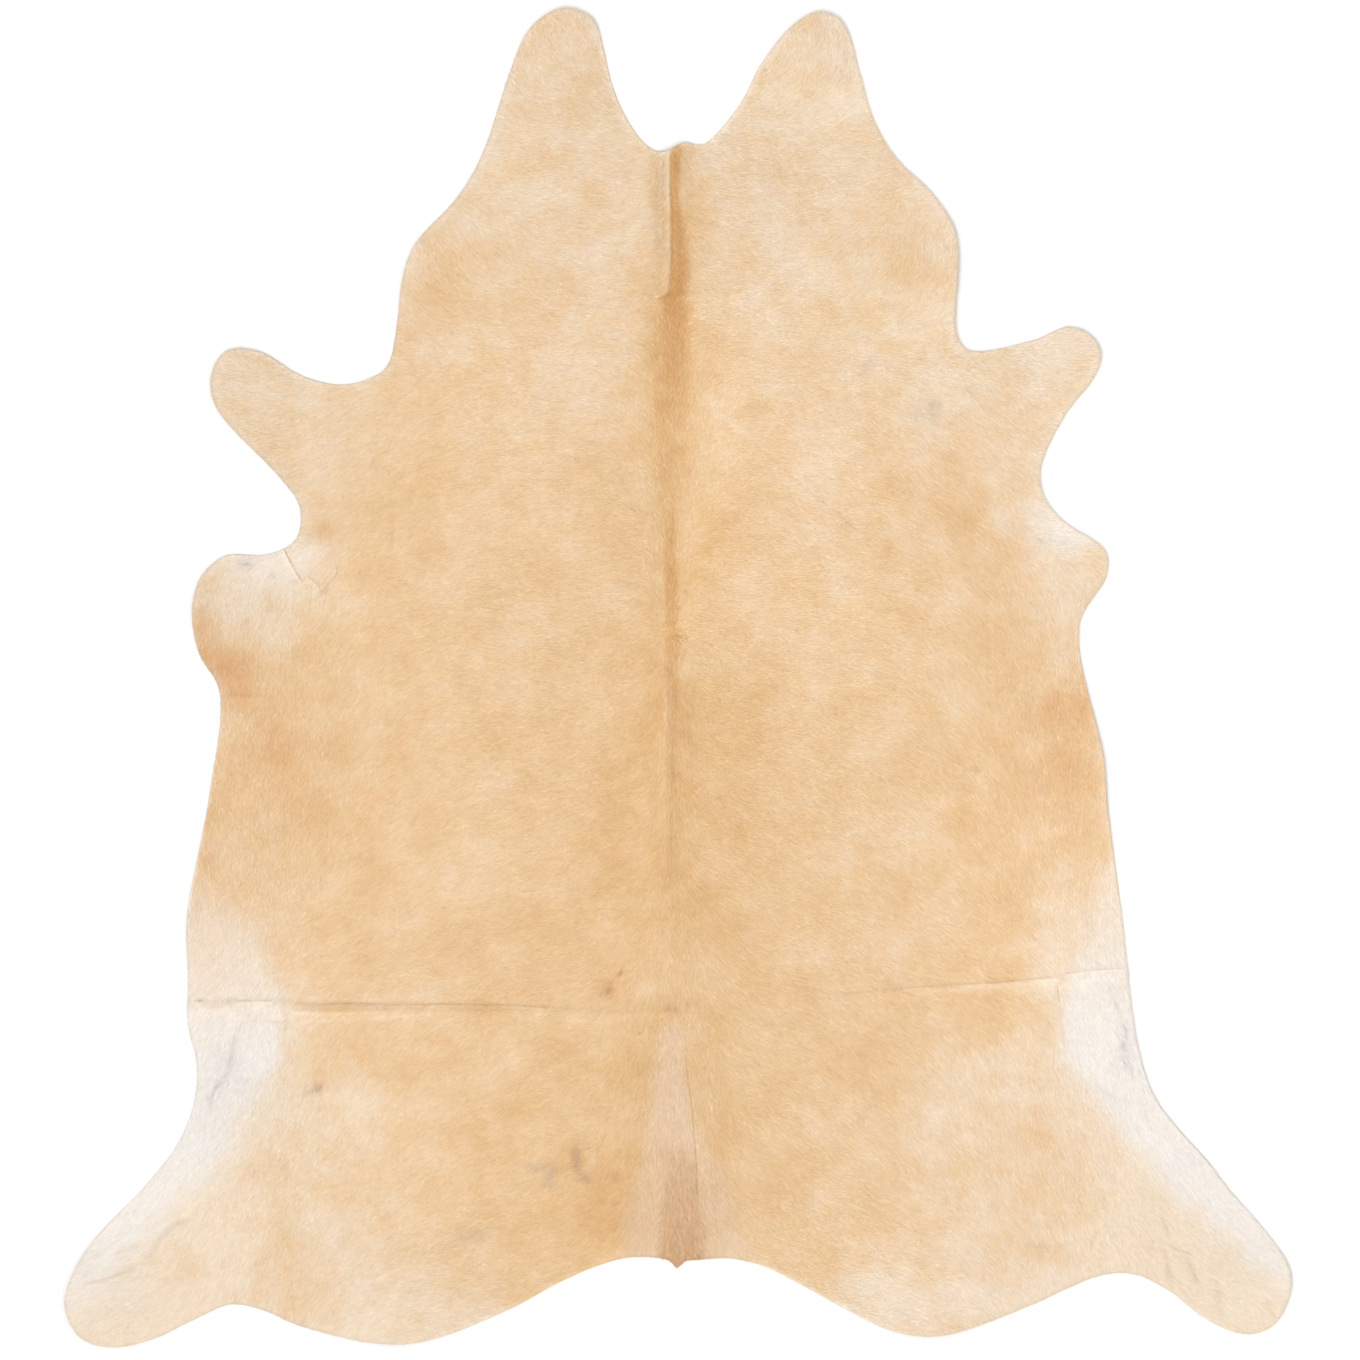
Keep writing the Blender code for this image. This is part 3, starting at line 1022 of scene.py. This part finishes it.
def coatDepth(x, y, steadyX):
    look = coatLook
    forward = (y - hindEnd) / mm
    steady = backSteadiness * smoothStep(*steadyBack, forward)
    steady = np.maximum(smoothStep(*steadyNeck, forward), steady)
    inward = smoothStep(look["rimToneFrom"], look["rimToneTo"], edgeDistance.at(x, y))
    depth = look["depth"] + softPatches(x, y, clouds)
    depth = depth + softBand(x + (steadyX - x) * steady, y, stripeCore)
    depth = depth + look["rimTone"] * (1 - inward)
    return depth + softBand(x, y, stripeHalo)


def stripeShare(x, y):
    # how much a place belongs to the spine's stripe or the tail, where hairs differ most
    share = softBand(x, y, stripeCore) + softBand(x, y, tailCore)
    return np.clip(share * coatLook["stripeReach"], 0, 1)


def coatWhite(x, y):
    forward = (y - hindEnd) / mm
    right = x / mm
    white = softPatches(x, y, whitePatches)
    for first, sense in ((1, -1), (4, 1)):
        start, soft, strength = (column(whiteFlanks, first + n, forward) for n in range(3))
        white = white + strength * smoothStep(-1, 1, sense * (right - start) / soft)
    return np.clip(white, 0, 1)


def lineSums(x, y, lines):
    total = np.zeros(len(x))
    for half, strength, places in lines:
        near, distance, fromEnd, length = alongLine(x, y, places, lineReach * half * mm)
        taper = smoothStep(-veinEnd, 1, fromEnd / min(veinTaper, length / 2))
        share = strength * taper * np.exp(-(distance / (half * mm)) ** 2)
        total[near] = np.maximum(total[near], share)
    return total


def wandered(x, y, shift, size, seed):
    # the same points moved a little, so that whatever is drawn at them gets an uneven border
    return x + shift * lumps(x, y, size, seed), y + shift * lumps(x, y, size, seed + 1)


def coatTints(x, y):
    # three sets of three masks for each point, and how much lighter or darker it is
    look = coatLook
    nearX, nearY = wandered(x, y, look["fineBorder"], look["fineBorderSize"], seeds["fineBorder"])
    softX, softY = wandered(nearX, nearY, look["border"], look["borderSize"], seeds["border"])
    patchy = 1 + look["markUneven"] * lumps(x, y, look["markUnevenSize"], seeds["markUneven"])
    rust = np.clip(softPatches(softX, softY, rustPatches), 0, 1)
    core = softBand(nearX, nearY, tailCore)
    pink = softBand(nearX, nearY, tailPink)
    # painted shade in the creases, and painted light on their lit ridges, uneven along them
    uneven = look["creaseUneven"] * lumps(x, y, look["creaseUnevenSize"], seeds["creaseUneven"])
    crease = creaseSums(x, y, creases, column=2) * (look["creaseStrength"] + uneven)
    # painted light on the lit ridges, with the real pale scars
    rim = np.maximum(-crease, 0) + lineSums(nearX, nearY, lightScars)
    dark = softPatches(nearX, nearY, darkMarks) * patchy
    grey = (softPatches(nearX, nearY, greyMarks) + lineSums(x, y, veins)) * patchy
    tint = np.stack([coatDepth(softX, softY, x), rust, coatWhite(softX, softY)], axis=1)
    mark = np.stack([pink * patchy ** 0.5, core, grey], axis=1)
    # the dark marks, the painted shade in creases, and the painted light with the pale scars
    line = np.stack([dark, np.maximum(crease, 0), rim], axis=1)
    shade = look["streak"] * fineStreaks.at(x, y) + look["tuftStreak"] * tuftStreaks.at(x, y)
    # tone, with painted shade and light on the neck's fold
    shade = shade + softPatches(x, y, paintedShadeAndTone)
    # painted shade along the edge of the hide
    inward = smoothStep(0, look["rimPaintedShadeTo"], edgeDistance.at(x, y))
    shade = shade + look["rimPaintedShade"] * (1 - inward)
    return tint, np.clip(mark, 0, 1), np.clip(line, 0, 1), shade


# Shader maths and nodes
def linear(colour):
    return tuple(((c / 255 + 0.055) / 1.055) ** 2.4 for c in colour) + (1.0,)


class Wire:
    # one output socket that can be used in sums
    def __init__(self, bench, socket):
        self.bench = bench
        self.socket = socket

    def __add__(self, other):
        return self.bench.sum("ADD", self, other)

    def __radd__(self, other):
        return self.bench.sum("ADD", other, self)

    def __sub__(self, other):
        return self.bench.sum("SUBTRACT", self, other)

    def __rsub__(self, other):
        return self.bench.sum("SUBTRACT", other, self)

    def __mul__(self, other):
        return self.bench.sum("MULTIPLY", self, other)

    def __rmul__(self, other):
        return self.bench.sum("MULTIPLY", other, self)


class Bench:
    # the nodes of one material or world, and the ways of adding to them
    def __init__(self, owner):
        owner.use_nodes = True
        self.tree = owner.node_tree
        self.count = 0

    def add(self, kind, settings, sockets, output=0):
        node = self.tree.nodes.new(kind)
        node.location = (-1800 + 180 * (self.count // 6), 400 - 190 * (self.count % 6))
        self.count += 1
        for key, value in settings.items():
            if key == "stops":
                ramp = node.color_ramp.elements
                while len(ramp) < len(value):
                    ramp.new(0.5)
                for stop, (position, colour) in zip(ramp, value):
                    stop.position = position
                    stop.color = colour
            else:
                setattr(node, key, value)
        for key, value in sockets.items():
            self.feed(node.inputs[key], value)
        return Wire(self, node.outputs[output])

    def feed(self, socket, value):
        if isinstance(value, Wire):
            self.tree.links.new(value.socket, socket)
        else:
            socket.default_value = value

    def sum(self, operation, first, second):
        return self.add("ShaderNodeMath", {"operation": operation}, {0: first, 1: second})

    def held(self, wire):
        # the same number, kept from 0 to 1
        settings = {"operation": "ADD", "use_clamp": True}
        return self.add("ShaderNodeMath", settings, {0: wire, 1: 0.0})

    def attribute(self, name, output=1):
        return self.add("ShaderNodeAttribute", {"attribute_name": name}, {}, output)

    def parts(self, wire):
        node = self.add("ShaderNodeSeparateXYZ", {}, {0: wire}).socket.node
        return [Wire(self, output) for output in node.outputs]

    def noise(self, spot, size, detail, roughness=0.55):
        values = {"Vector": spot, "Scale": 1 / size, "Detail": detail, "Roughness": roughness}
        return self.add("ShaderNodeTexNoise", {}, values)

    def mixed(self, share, first, second):
        return self.add("ShaderNodeMix", {"data_type": "RGBA"}, {0: share, 6: first, 7: second}, 2)

    def scaled(self, colour, factor):
        sockets = {0: colour, "Scale": factor}
        return self.add("ShaderNodeVectorMath", {"operation": "SCALE"}, sockets)

    def into(self, nodeName, sockets):
        # feeds a node that the material or world already has
        for key, value in sockets.items():
            self.feed(self.tree.nodes[nodeName].inputs[key], value)


def coatMaterial(name, paintedUnderShade, roughness):
    look = coatLook
    material = bpy.data.materials.new(name)
    bench = Bench(material)
    spot = bench.attribute("hideSpot")
    depth, rust, white = bench.parts(bench.attribute("tint"))
    pink, tail, grey = bench.parts(bench.attribute("mark"))
    dark, crease, rim = bench.parts(bench.attribute("line"))
    ownTone = bench.attribute("ownTone", 2)
    shade = bench.attribute("shade", 2)
    cloud = bench.noise(spot, look["cloudSize"], look["cloudDetail"], look["cloudRoughness"]) - 0.5
    fleck = bench.noise(spot, look["fleckSize"], look["fleckDetail"]) - 0.5
    depth = depth + cloud * look["cloud"] + fleck * look["fleck"] + ownTone
    low, high = look["depthRange"]
    stops = [((at - low) / (high - low), linear(look[key])) for at, key in look["depthStops"]]
    along = (depth - low) * (1 / (high - low))
    colour = bench.add("ShaderNodeValToRGB", {"stops": stops}, {0: along})
    uneven = look["uneven"]
    layers = (
        ("rust", rust * (1.0 + cloud * uneven["rust"])),
        ("pink", pink * (1.0 + fleck * uneven["pink"])),
        ("tail", tail * (1.0 + fleck * uneven["tail"])),
        ("white", white + white * (1.0 - white) * cloud * uneven["white"]),
        ("darkMark", dark * (1.0 + fleck * uneven["darkMark"])),
        ("greyMark", grey * (1.0 + fleck * uneven["greyMark"])),
        # painted shade in creases, then painted light on ridges with the pale scars
        ("paintedCreaseShade", crease * look["paintedCreaseShadeShare"]),
        ("paleScarsAndPaintedLight", rim * look["paleScarsAndPaintedLightShare"]),
    )
    for key, share in layers:
        colour = bench.mixed(bench.held(share), colour, linear(look[key]))
    # the undercoat's painted shade, and the shade attribute's tone with painted shade and light
    colour = bench.scaled(colour, 1.0 + shade - paintedUnderShade)
    relief = {"Strength": look["bump"], "Distance": look["bumpDepth"], "Height": fleck}
    bench.into("Principled BSDF", {
        "Base Color": colour,
        "Roughness": roughness + fleck * look["fleckRoughness"],
        "Normal": bench.add("ShaderNodeBump", {}, relief),
        "Sheen Weight": look["sheen"],
        "Sheen Roughness": look["sheenRoughness"],
        "Specular IOR Level": look["specular"],
    })
    return material


suedeLook = {
    "colour": (222, 200, 172),
    "dark": (196, 170, 140),
    "cut": (226, 206, 178),
    "patchSize": 0.12,
    "patchDetail": 5.0,
    "patchRoughness": 0.6,
    "patchStrength": 1.6,
    "patchFrom": 0.35,
    "napSize": 0.0016,
    "napDetail": 3.0,
    "napTone": 0.5,
    "napDepth": 0.0003,
    "napBump": 0.6,
    "roughness": 0.86,
    "napRoughness": 0.1,
    "sheen": 0.2,
}


def suedeMaterial(name, pale):
    look = suedeLook
    material = bpy.data.materials.new(name)
    bench = Bench(material)
    spot = bench.attribute("hideSpot")
    patch = bench.noise(spot, look["patchSize"], look["patchDetail"], look["patchRoughness"])
    nap = bench.noise(spot, look["napSize"], look["napDetail"])
    share = patch * look["patchStrength"] - look["patchFrom"] + (nap - 0.5) * look["napTone"]
    relief = {"Strength": look["napBump"], "Distance": look["napDepth"], "Height": nap}
    bench.into("Principled BSDF", {
        "Base Color": bench.mixed(bench.held(share), linear(look[pale]), linear(look["dark"])),
        "Roughness": look["roughness"] + nap * look["napRoughness"],
        "Normal": bench.add("ShaderNodeBump", {}, relief),
        "Sheen Weight": look["sheen"],
    })
    return material


# Meshes
def newPiece(name, points, triangles, materials):
    mesh = bpy.data.meshes.new(name)
    mesh.vertices.add(len(points))
    mesh.vertices.foreach_set("co", points.astype(np.float32).ravel())
    mesh.loops.add(3 * len(triangles))
    mesh.loops.foreach_set("vertex_index", triangles.astype(np.int32).ravel())
    mesh.polygons.add(len(triangles))
    mesh.polygons.foreach_set("loop_start", np.arange(0, 3 * len(triangles), 3, dtype=np.int32))
    mesh.update(calc_edges=True)
    for material in materials:
        mesh.materials.append(material)
    piece = bpy.data.objects.new(name, mesh)
    bpy.context.scene.collection.objects.link(piece)
    return piece


def writeAttribute(piece, name, values):
    kind, key = ("FLOAT_VECTOR", "vector") if values.ndim == 2 else ("FLOAT", "value")
    attribute = piece.data.attributes.new(name, kind, "POINT")
    attribute.data.foreach_set(key, values.astype(np.float32).ravel())


def writeCoat(piece, x, y, ownTone, ownShade, repeat=1):
    # a hair has one colour all along, so its three corners share one set
    tint, mark, line, shade = coatTints(x, y)
    attributes = {
        "hideSpot": np.stack([x, y, np.zeros(len(x))], axis=1),
        "tint": tint,
        "mark": mark,
        "line": line,
        "ownTone": ownTone,
        "shade": shade + ownShade,
    }
    for name, values in attributes.items():
        writeAttribute(piece, name, np.repeat(values, repeat, axis=0))


def writeMap(piece, u, v, rightFrom=None):
    # a map seen from above; corners from rightFrom on go into its right half
    corners = np.empty(len(piece.data.loops), dtype=np.int32)
    piece.data.loops.foreach_get("vertex_index", corners)
    spots = np.stack([u[corners], v[corners]], axis=1)
    if rightFrom is not None:
        spots[rightFrom:, 0] += 0.5
    layer = piece.data.uv_layers.new(name="OFBake")
    layer.data.foreach_set("uv", spots.astype(np.float32).ravel())


# The leather: a closed sheet with a rounded cut edge
leatherLook = {
    "topStep": 0.008,
    "underStep": 0.02,
    "creaseStep": 0.006,
    "creaseRowsAt": (-2, -0.9, 0, 0.9, 2),  # half-widths from a crease's middle
    "creaseClear": 0.003,  # how far the points keep from the edge
    "topClear": 0.0045,
    "underClear": 0.01,
    "besideCrease": 0.6,  # steps that the other points keep from the creases'
    "mapMargin": 0.005,
    # how far in from the outline each ring of the cut edge lies, and its share of the thickness
    "edgeRings": ((0.0010, 1.0), (0.0003, 0.82), (0.0, 0.4), (0.0006, 0.0)),
}


def hexPoints(step, clearance):
    rows = []
    rise = step * math.sqrt(3) / 2
    for j, y in enumerate(np.arange(cadBox[0].y, cadBox[1].y, rise)):
        xs = np.arange(cadBox[0].x, cadBox[1].x, step) + (step / 2 if j % 2 else 0)
        rows.append(np.stack([xs, np.full(len(xs), y)], axis=1))
    points = np.concatenate(rows)
    return points[edgeDistance.at(points[:, 0], points[:, 1]) > clearance]


def creaseRows():
    # rows of points along every crease, so that the mesh has edges where the creases bend it
    rows = []
    for half, height, darkness, places in creases:
        line = np.array([place(*spot) for spot in places])
        length = np.concatenate([[0], np.cumsum(np.linalg.norm(np.diff(line, axis=0), axis=1))])
        run = np.linspace(0, length[-1], max(2, int(length[-1] / leatherLook["creaseStep"])))
        middle = np.stack([np.interp(run, length, line[:, axis]) for axis in range(2)], axis=1)
        way = np.gradient(middle, axis=0)
        way /= np.linalg.norm(way, axis=1)[:, None]
        across = np.stack([-way[:, 1], way[:, 0]], axis=1)
        rows += [middle + across * half * mm * share for share in leatherLook["creaseRowsAt"]]
    return np.concatenate(rows)


def thinned(points, others, least):
    # the points that keep this far from the others
    tree = KDTree(len(others))
    for n, point in enumerate(others):
        tree.insert((point[0], point[1], 0), n)
    tree.balance()
    keep = [tree.find((point[0], point[1], 0))[2] > least for point in points]
    return points[np.array(keep)]


def triangulate(rim, inner):
    # triangles over the inner points and the closed rim, whose points come first
    points = [Vector(point) for point in np.concatenate([rim, inner])]
    edges = [(n, (n + 1) % len(rim)) for n in range(len(rim))]
    found, _, faces, comeFrom, _, _ = delaunay_2d_cdt(points, edges, [], 1, 1e-7, True)
    spots = np.array([tuple(point) for point in found])
    faces = np.array(faces)
    rimIndex = np.zeros(len(rim), dtype=int)
    order = np.full(len(spots), -1)
    for new, old in enumerate(comeFrom):
        for n in old:
            if n < len(rim):
                rimIndex[n] = new
                order[new] = n
    # a triangle that takes its rim points in the wrong order lies in a bay outside the rim
    ring = order[faces]
    first = (ring[:, 1] - ring[:, 0]) % len(rim)
    second = (ring[:, 2] - ring[:, 0]) % len(rim)
    outside = (ring >= 0).all(axis=1) & (first > second)
    return spots, faces[~outside], rimIndex


def makeLeather():
    look = leatherLook
    ahead = np.roll(outline, -1, axis=0) - np.roll(outline, 1, axis=0)
    outward = np.stack([ahead[:, 1], -ahead[:, 0]], axis=1)
    outward /= np.linalg.norm(outward, axis=1)[:, None]
    rings = [outline - inset * outward for inset, _ in look["edgeRings"]]
    lines = creaseRows()
    lines = lines[edgeDistance.at(lines[:, 0], lines[:, 1]) > look["creaseClear"]]
    hexes = hexPoints(look["topStep"], look["topClear"])
    hexes = thinned(hexes, lines, look["besideCrease"] * look["topStep"])
    top, topFaces, topRim = triangulate(rings[0], np.concatenate([hexes, lines]))
    hexes = hexPoints(look["underStep"], look["underClear"])
    low, lowFaces, lowRim = triangulate(rings[-1], hexes)
    topZ = leatherTopAt(top[:, 0], top[:, 1])
    lowZ = undersideAt(low[:, 0], low[:, 1])
    points = [np.column_stack([top, topZ]), np.column_stack([low, lowZ])]
    faces = [topFaces, lowFaces[:, ::-1] + len(top)]
    count = len(top) + len(low)
    ringStarts = [topRim]
    for ring, (_, share) in list(zip(rings, look["edgeRings"]))[1:-1]:
        z = lowZ[lowRim] + share * (topZ[topRim] - lowZ[lowRim])
        points.append(np.column_stack([ring, z]))
        ringStarts.append(count + np.arange(len(ring)))
        count += len(ring)
    ringStarts.append(len(top) + lowRim)
    for upper, lower in zip(ringStarts[:-1], ringStarts[1:]):
        upperNext = np.roll(upper, -1)
        lowerNext = np.roll(lower, -1)
        faces.append(np.column_stack([upper, lower, lowerNext]))
        faces.append(np.column_stack([upper, lowerNext, upperNext]))
    points = np.concatenate(points)
    triangles = np.concatenate(faces)
    paintedUnderShade = coatLook["undercoatPaintedShade"]
    materials = [
        coatMaterial("undercoat", paintedUnderShade, coatLook["undercoatRoughness"]),
        suedeMaterial("suedeSide", "colour"),
        suedeMaterial("cutEdge", "cut"),
    ]
    piece = newPiece("hideLeather", points, triangles, materials)
    # the faces come in this order: hair side, underside, cut edge
    kinds = np.full(len(triangles), 2, dtype=np.int32)
    kinds[:len(topFaces)] = 0
    kinds[len(topFaces):len(topFaces) + len(lowFaces)] = 1
    piece.data.polygons.foreach_set("material_index", kinds)
    x = points[:, 0]
    y = points[:, 1]
    writeCoat(piece, x, y, np.zeros(len(points)), np.zeros(len(points)))
    # the hair side fills the map's left half, and the rest its right half
    margin = look["mapMargin"]
    u = (x - cadBox[0].x) / (cadBox[1].x - cadBox[0].x) * (0.5 - 2 * margin) + margin
    v = (y - cadBox[0].y) / (cadBox[1].y - cadBox[0].y) * (1 - 2 * margin) + margin
    writeMap(piece, u, v, 3 * len(topFaces))
    piece.data.shade_smooth()
    print("leather:", len(triangles), "triangles")
    return piece


leather = makeLeather()
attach(leather, "root")
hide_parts("hide")


# The hair: one flat tapering lock per triangle, growing from the leather and lying the coat's way
hairLook = {
    "acrossStep": 2.08 * mm,
    "forwardStep": 1.87 * mm,
    "jitter": 0.9,
    "length": 10.5 * mm,
    "lengthSpread": 0.35,
    "width": 1.5 * mm,
    "widthSpread": 0.35,
    "tipLow": 0.8 * mm,
    "tipHigh": 2.1 * mm,
    "roll": 8.0,  # degrees
    "stray": 10.0,  # degrees that one lock turns from the coat's way
    "tuft": 5.0,  # degrees that neighbours turn together
    "sway": 6.0,
    "swaySize": 0.04,
    "edgeClear": 0.9 * mm,
    "overhang": 1.3 * mm,
    "partsAt": 0.28,  # hair ends short of creases whose painted shade is at least this dark
    "partsWhere": 0.16,  # and of them only where their painted shade is darker than this
    "partsTried": (1.0, 0.84, 0.68, 0.52, 0.36, 0.2, 0.0),  # shares of a lock's length
    "partsShort": 0.12,
    "edgeTries": 6,
    "edgeShortens": 0.75,
    "colourAt": 0.6,  # a lock takes the coat's colour this far along it
    "colourStray": 2.0 * mm,
    "pieces": ("hairRump", "hairBack", "hairShoulders", "hairNeck"),
}


def growRoots(draw):
    look = hairLook
    rows = []
    for y in np.arange(cadBox[0].y, cadBox[1].y, look["forwardStep"]):
        ends = crossings(outline, y)
        for left, right in zip(ends[::2], ends[1::2]):
            xs = np.arange(left + draw.uniform(0, look["acrossStep"]), right, look["acrossStep"])
            rows.append(np.stack([xs, np.full(len(xs), y)], axis=1))
    roots = np.concatenate(rows)
    steps = np.array([look["acrossStep"], look["forwardStep"]])
    roots += draw.uniform(-0.5, 0.5, roots.shape) * steps * look["jitter"]
    return roots[edgeDistance.at(roots[:, 0], roots[:, 1]) > look["edgeClear"]]


def combHair(roots, draw):
    look = hairLook
    x = roots[:, 0]
    y = roots[:, 1]
    count = len(x)
    across, forward = hairWay(x, y)
    turn = draw.normal(0, look["stray"], count) + look["tuft"] * tuftStreaks.at(x, y)
    turn = np.radians(turn + look["sway"] * lumps(x, y, look["swaySize"], seeds["sway"]))
    dx = across * np.cos(turn) - forward * np.sin(turn)
    dy = across * np.sin(turn) + forward * np.cos(turn)
    length = look["length"] * (1 + look["lengthSpread"] * draw.uniform(-1, 1, count))
    whole = length.copy()
    darkest = [crease for crease in creases if crease[2] >= look["partsAt"]]
    for share in look["partsTried"]:
        triedX = x + dx * whole * share
        triedY = y + dy * whole * share
        dark = creaseSums(triedX, triedY, darkest, column=2)
        crossed = dark > look["partsWhere"]
        length[crossed] = whole[crossed] * max(share - look["partsShort"], look["partsShort"])
    for _ in range(look["edgeTries"]):
        over = edgeDistance.at(x + dx * length, y + dy * length) < -look["overhang"]
        length[over] *= look["edgeShortens"]
    half = 0.5 * look["width"] * (1 + look["widthSpread"] * draw.uniform(-1, 1, count))
    roll = np.radians(draw.normal(0, look["roll"], count))
    lift = draw.uniform(look["tipLow"], look["tipHigh"], count)
    sideX = -dy * half
    sideY = dx * half
    rise = half * np.sin(roll)
    corners = np.empty((count, 3, 3))
    for n, sense in enumerate((1, -1)):
        cornerX = x + sense * sideX
        cornerY = y + sense * sideY
        cornerZ = leatherTopAt(cornerX, cornerY) + sense * rise
        corners[:, n] = np.column_stack([cornerX, cornerY, cornerZ])
    tipX = x + dx * length
    tipY = y + dy * length
    corners[:, 2] = np.column_stack([tipX, tipY, leatherTopAt(tipX, tipY) + lift])
    along = length * look["colourAt"]
    along = along + look["colourStray"] * draw.uniform(-1, 1, count) * length / whole
    return corners, x + dx * along, y + dy * along


def makeHair():
    draw = np.random.default_rng(seeds["hair"])
    roots = growRoots(draw)
    coat = coatMaterial("lyingHair", 0.0, coatLook["hairRoughness"])
    pieces = []
    names = hairLook["pieces"]
    for name, part in zip(names, np.array_split(roots, len(names))):
        corners, colourX, colourY = combHair(part, draw)
        points = corners.reshape(-1, 3)
        # corner 0 lies left of the way the hair points, so the three in order face up
        triangles = np.arange(len(points)).reshape(-1, 3)
        piece = newPiece(name, points, triangles, [coat])
        stripe = stripeShare(colourX, colourY)
        spread = coatLook["hairByHair"] * (1 - stripe) + coatLook["stripeHairs"] * stripe
        ownTone = spread * draw.uniform(-1, 1, len(part))
        ownShade = coatLook["ownShade"] * draw.normal(0, 1, len(part))
        writeCoat(piece, colourX, colourY, ownTone, ownShade, 3)
        low = points.min(axis=0)
        high = points.max(axis=0)
        spots = (points - low) / (high - low)
        writeMap(piece, spots[:, 0], spots[:, 1])
        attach(piece, "root")
        pieces.append(piece)
        print(name, len(triangles), "triangles")
    return pieces


hair = makeHair()


# Floor, light and camera
studioLook = {
    "floorShade": 0.89,
    "floorRoughness": 0.9,
    "floorSize": 400.0,
    "floorGap": 0.0003,  # below the rug
    "overhead": 0.872,
    "horizon": 1.06,  # the light around the floor's far edge, as bright as the floor looks
    "horizonTo": 0.375,  # how high the horizon's light reaches, and over what height it fades
    "horizonFade": 0.25,
    "sunStrength": 1.4,
    "sunFrom": (-0.62, -0.5, 0.85),  # from the hind left, above
    "sunSoft": 36.0,  # degrees
    "sensor": 36.0,
    "cameraHeight": 8.0,
    "frameWidth": 2.3135,  # what the photo's 1360 pixels span on the floor
    "frameMiddle": (0.0038, -0.0037),
}


def makeFloor():
    half = studioLook["floorSize"] / 2
    corners = [(-half, -half, 0), (half, -half, 0), (half, half, 0), (-half, half, 0)]
    mesh = bpy.data.meshes.new("floor")
    mesh.from_pydata(corners, [], [(0, 1, 2, 3)])
    floor = bpy.data.objects.new("floor", mesh)
    floor.location.z = -studioLook["floorGap"]
    bpy.context.scene.collection.objects.link(floor)
    material = bpy.data.materials.new("paleFloor")
    shade = studioLook["floorShade"]
    Bench(material).into("Principled BSDF", {
        "Base Color": (shade, shade, shade, 1.0),
        "Roughness": studioLook["floorRoughness"],
        "Specular IOR Level": 0.0,
    })
    mesh.materials.append(material)
    return floor


def makeLights():
    world = bpy.data.worlds.new("studio")
    bench = Bench(world)
    up = bench.parts(bench.add("ShaderNodeTexCoord", {}, {}))[2]
    overhead = (studioLook["overhead"],) * 3 + (1.0,)
    horizon = (studioLook["horizon"],) * 3 + (1.0,)
    low = bench.held((studioLook["horizonTo"] - up) * (1 / studioLook["horizonFade"]))
    light = bench.mixed(low, overhead, horizon)
    bench.into("Background", {"Color": light, "Strength": 1.0})
    bpy.context.scene.world = world
    lamp = bpy.data.lights.new("softKey", "SUN")
    lamp.energy = studioLook["sunStrength"]
    lamp.angle = math.radians(studioLook["sunSoft"])
    key = bpy.data.objects.new("softKey", lamp)
    key.rotation_mode = "QUATERNION"
    key.rotation_quaternion = Vector(studioLook["sunFrom"]).to_track_quat("Z", "Y")
    bpy.context.scene.collection.objects.link(key)


def makeCamera():
    data = bpy.data.cameras.new("camera")
    data.sensor_width = studioLook["sensor"]
    data.lens = studioLook["sensor"] * studioLook["cameraHeight"] / studioLook["frameWidth"]
    camera = bpy.data.objects.new("camera", data)
    camera.location = (*studioLook["frameMiddle"], studioLook["cameraHeight"])
    bpy.context.scene.collection.objects.link(camera)
    bpy.context.scene.camera = camera


floor = makeFloor()
makeLights()
makeCamera()
bpy.context.scene.view_settings.view_transform = "Standard"
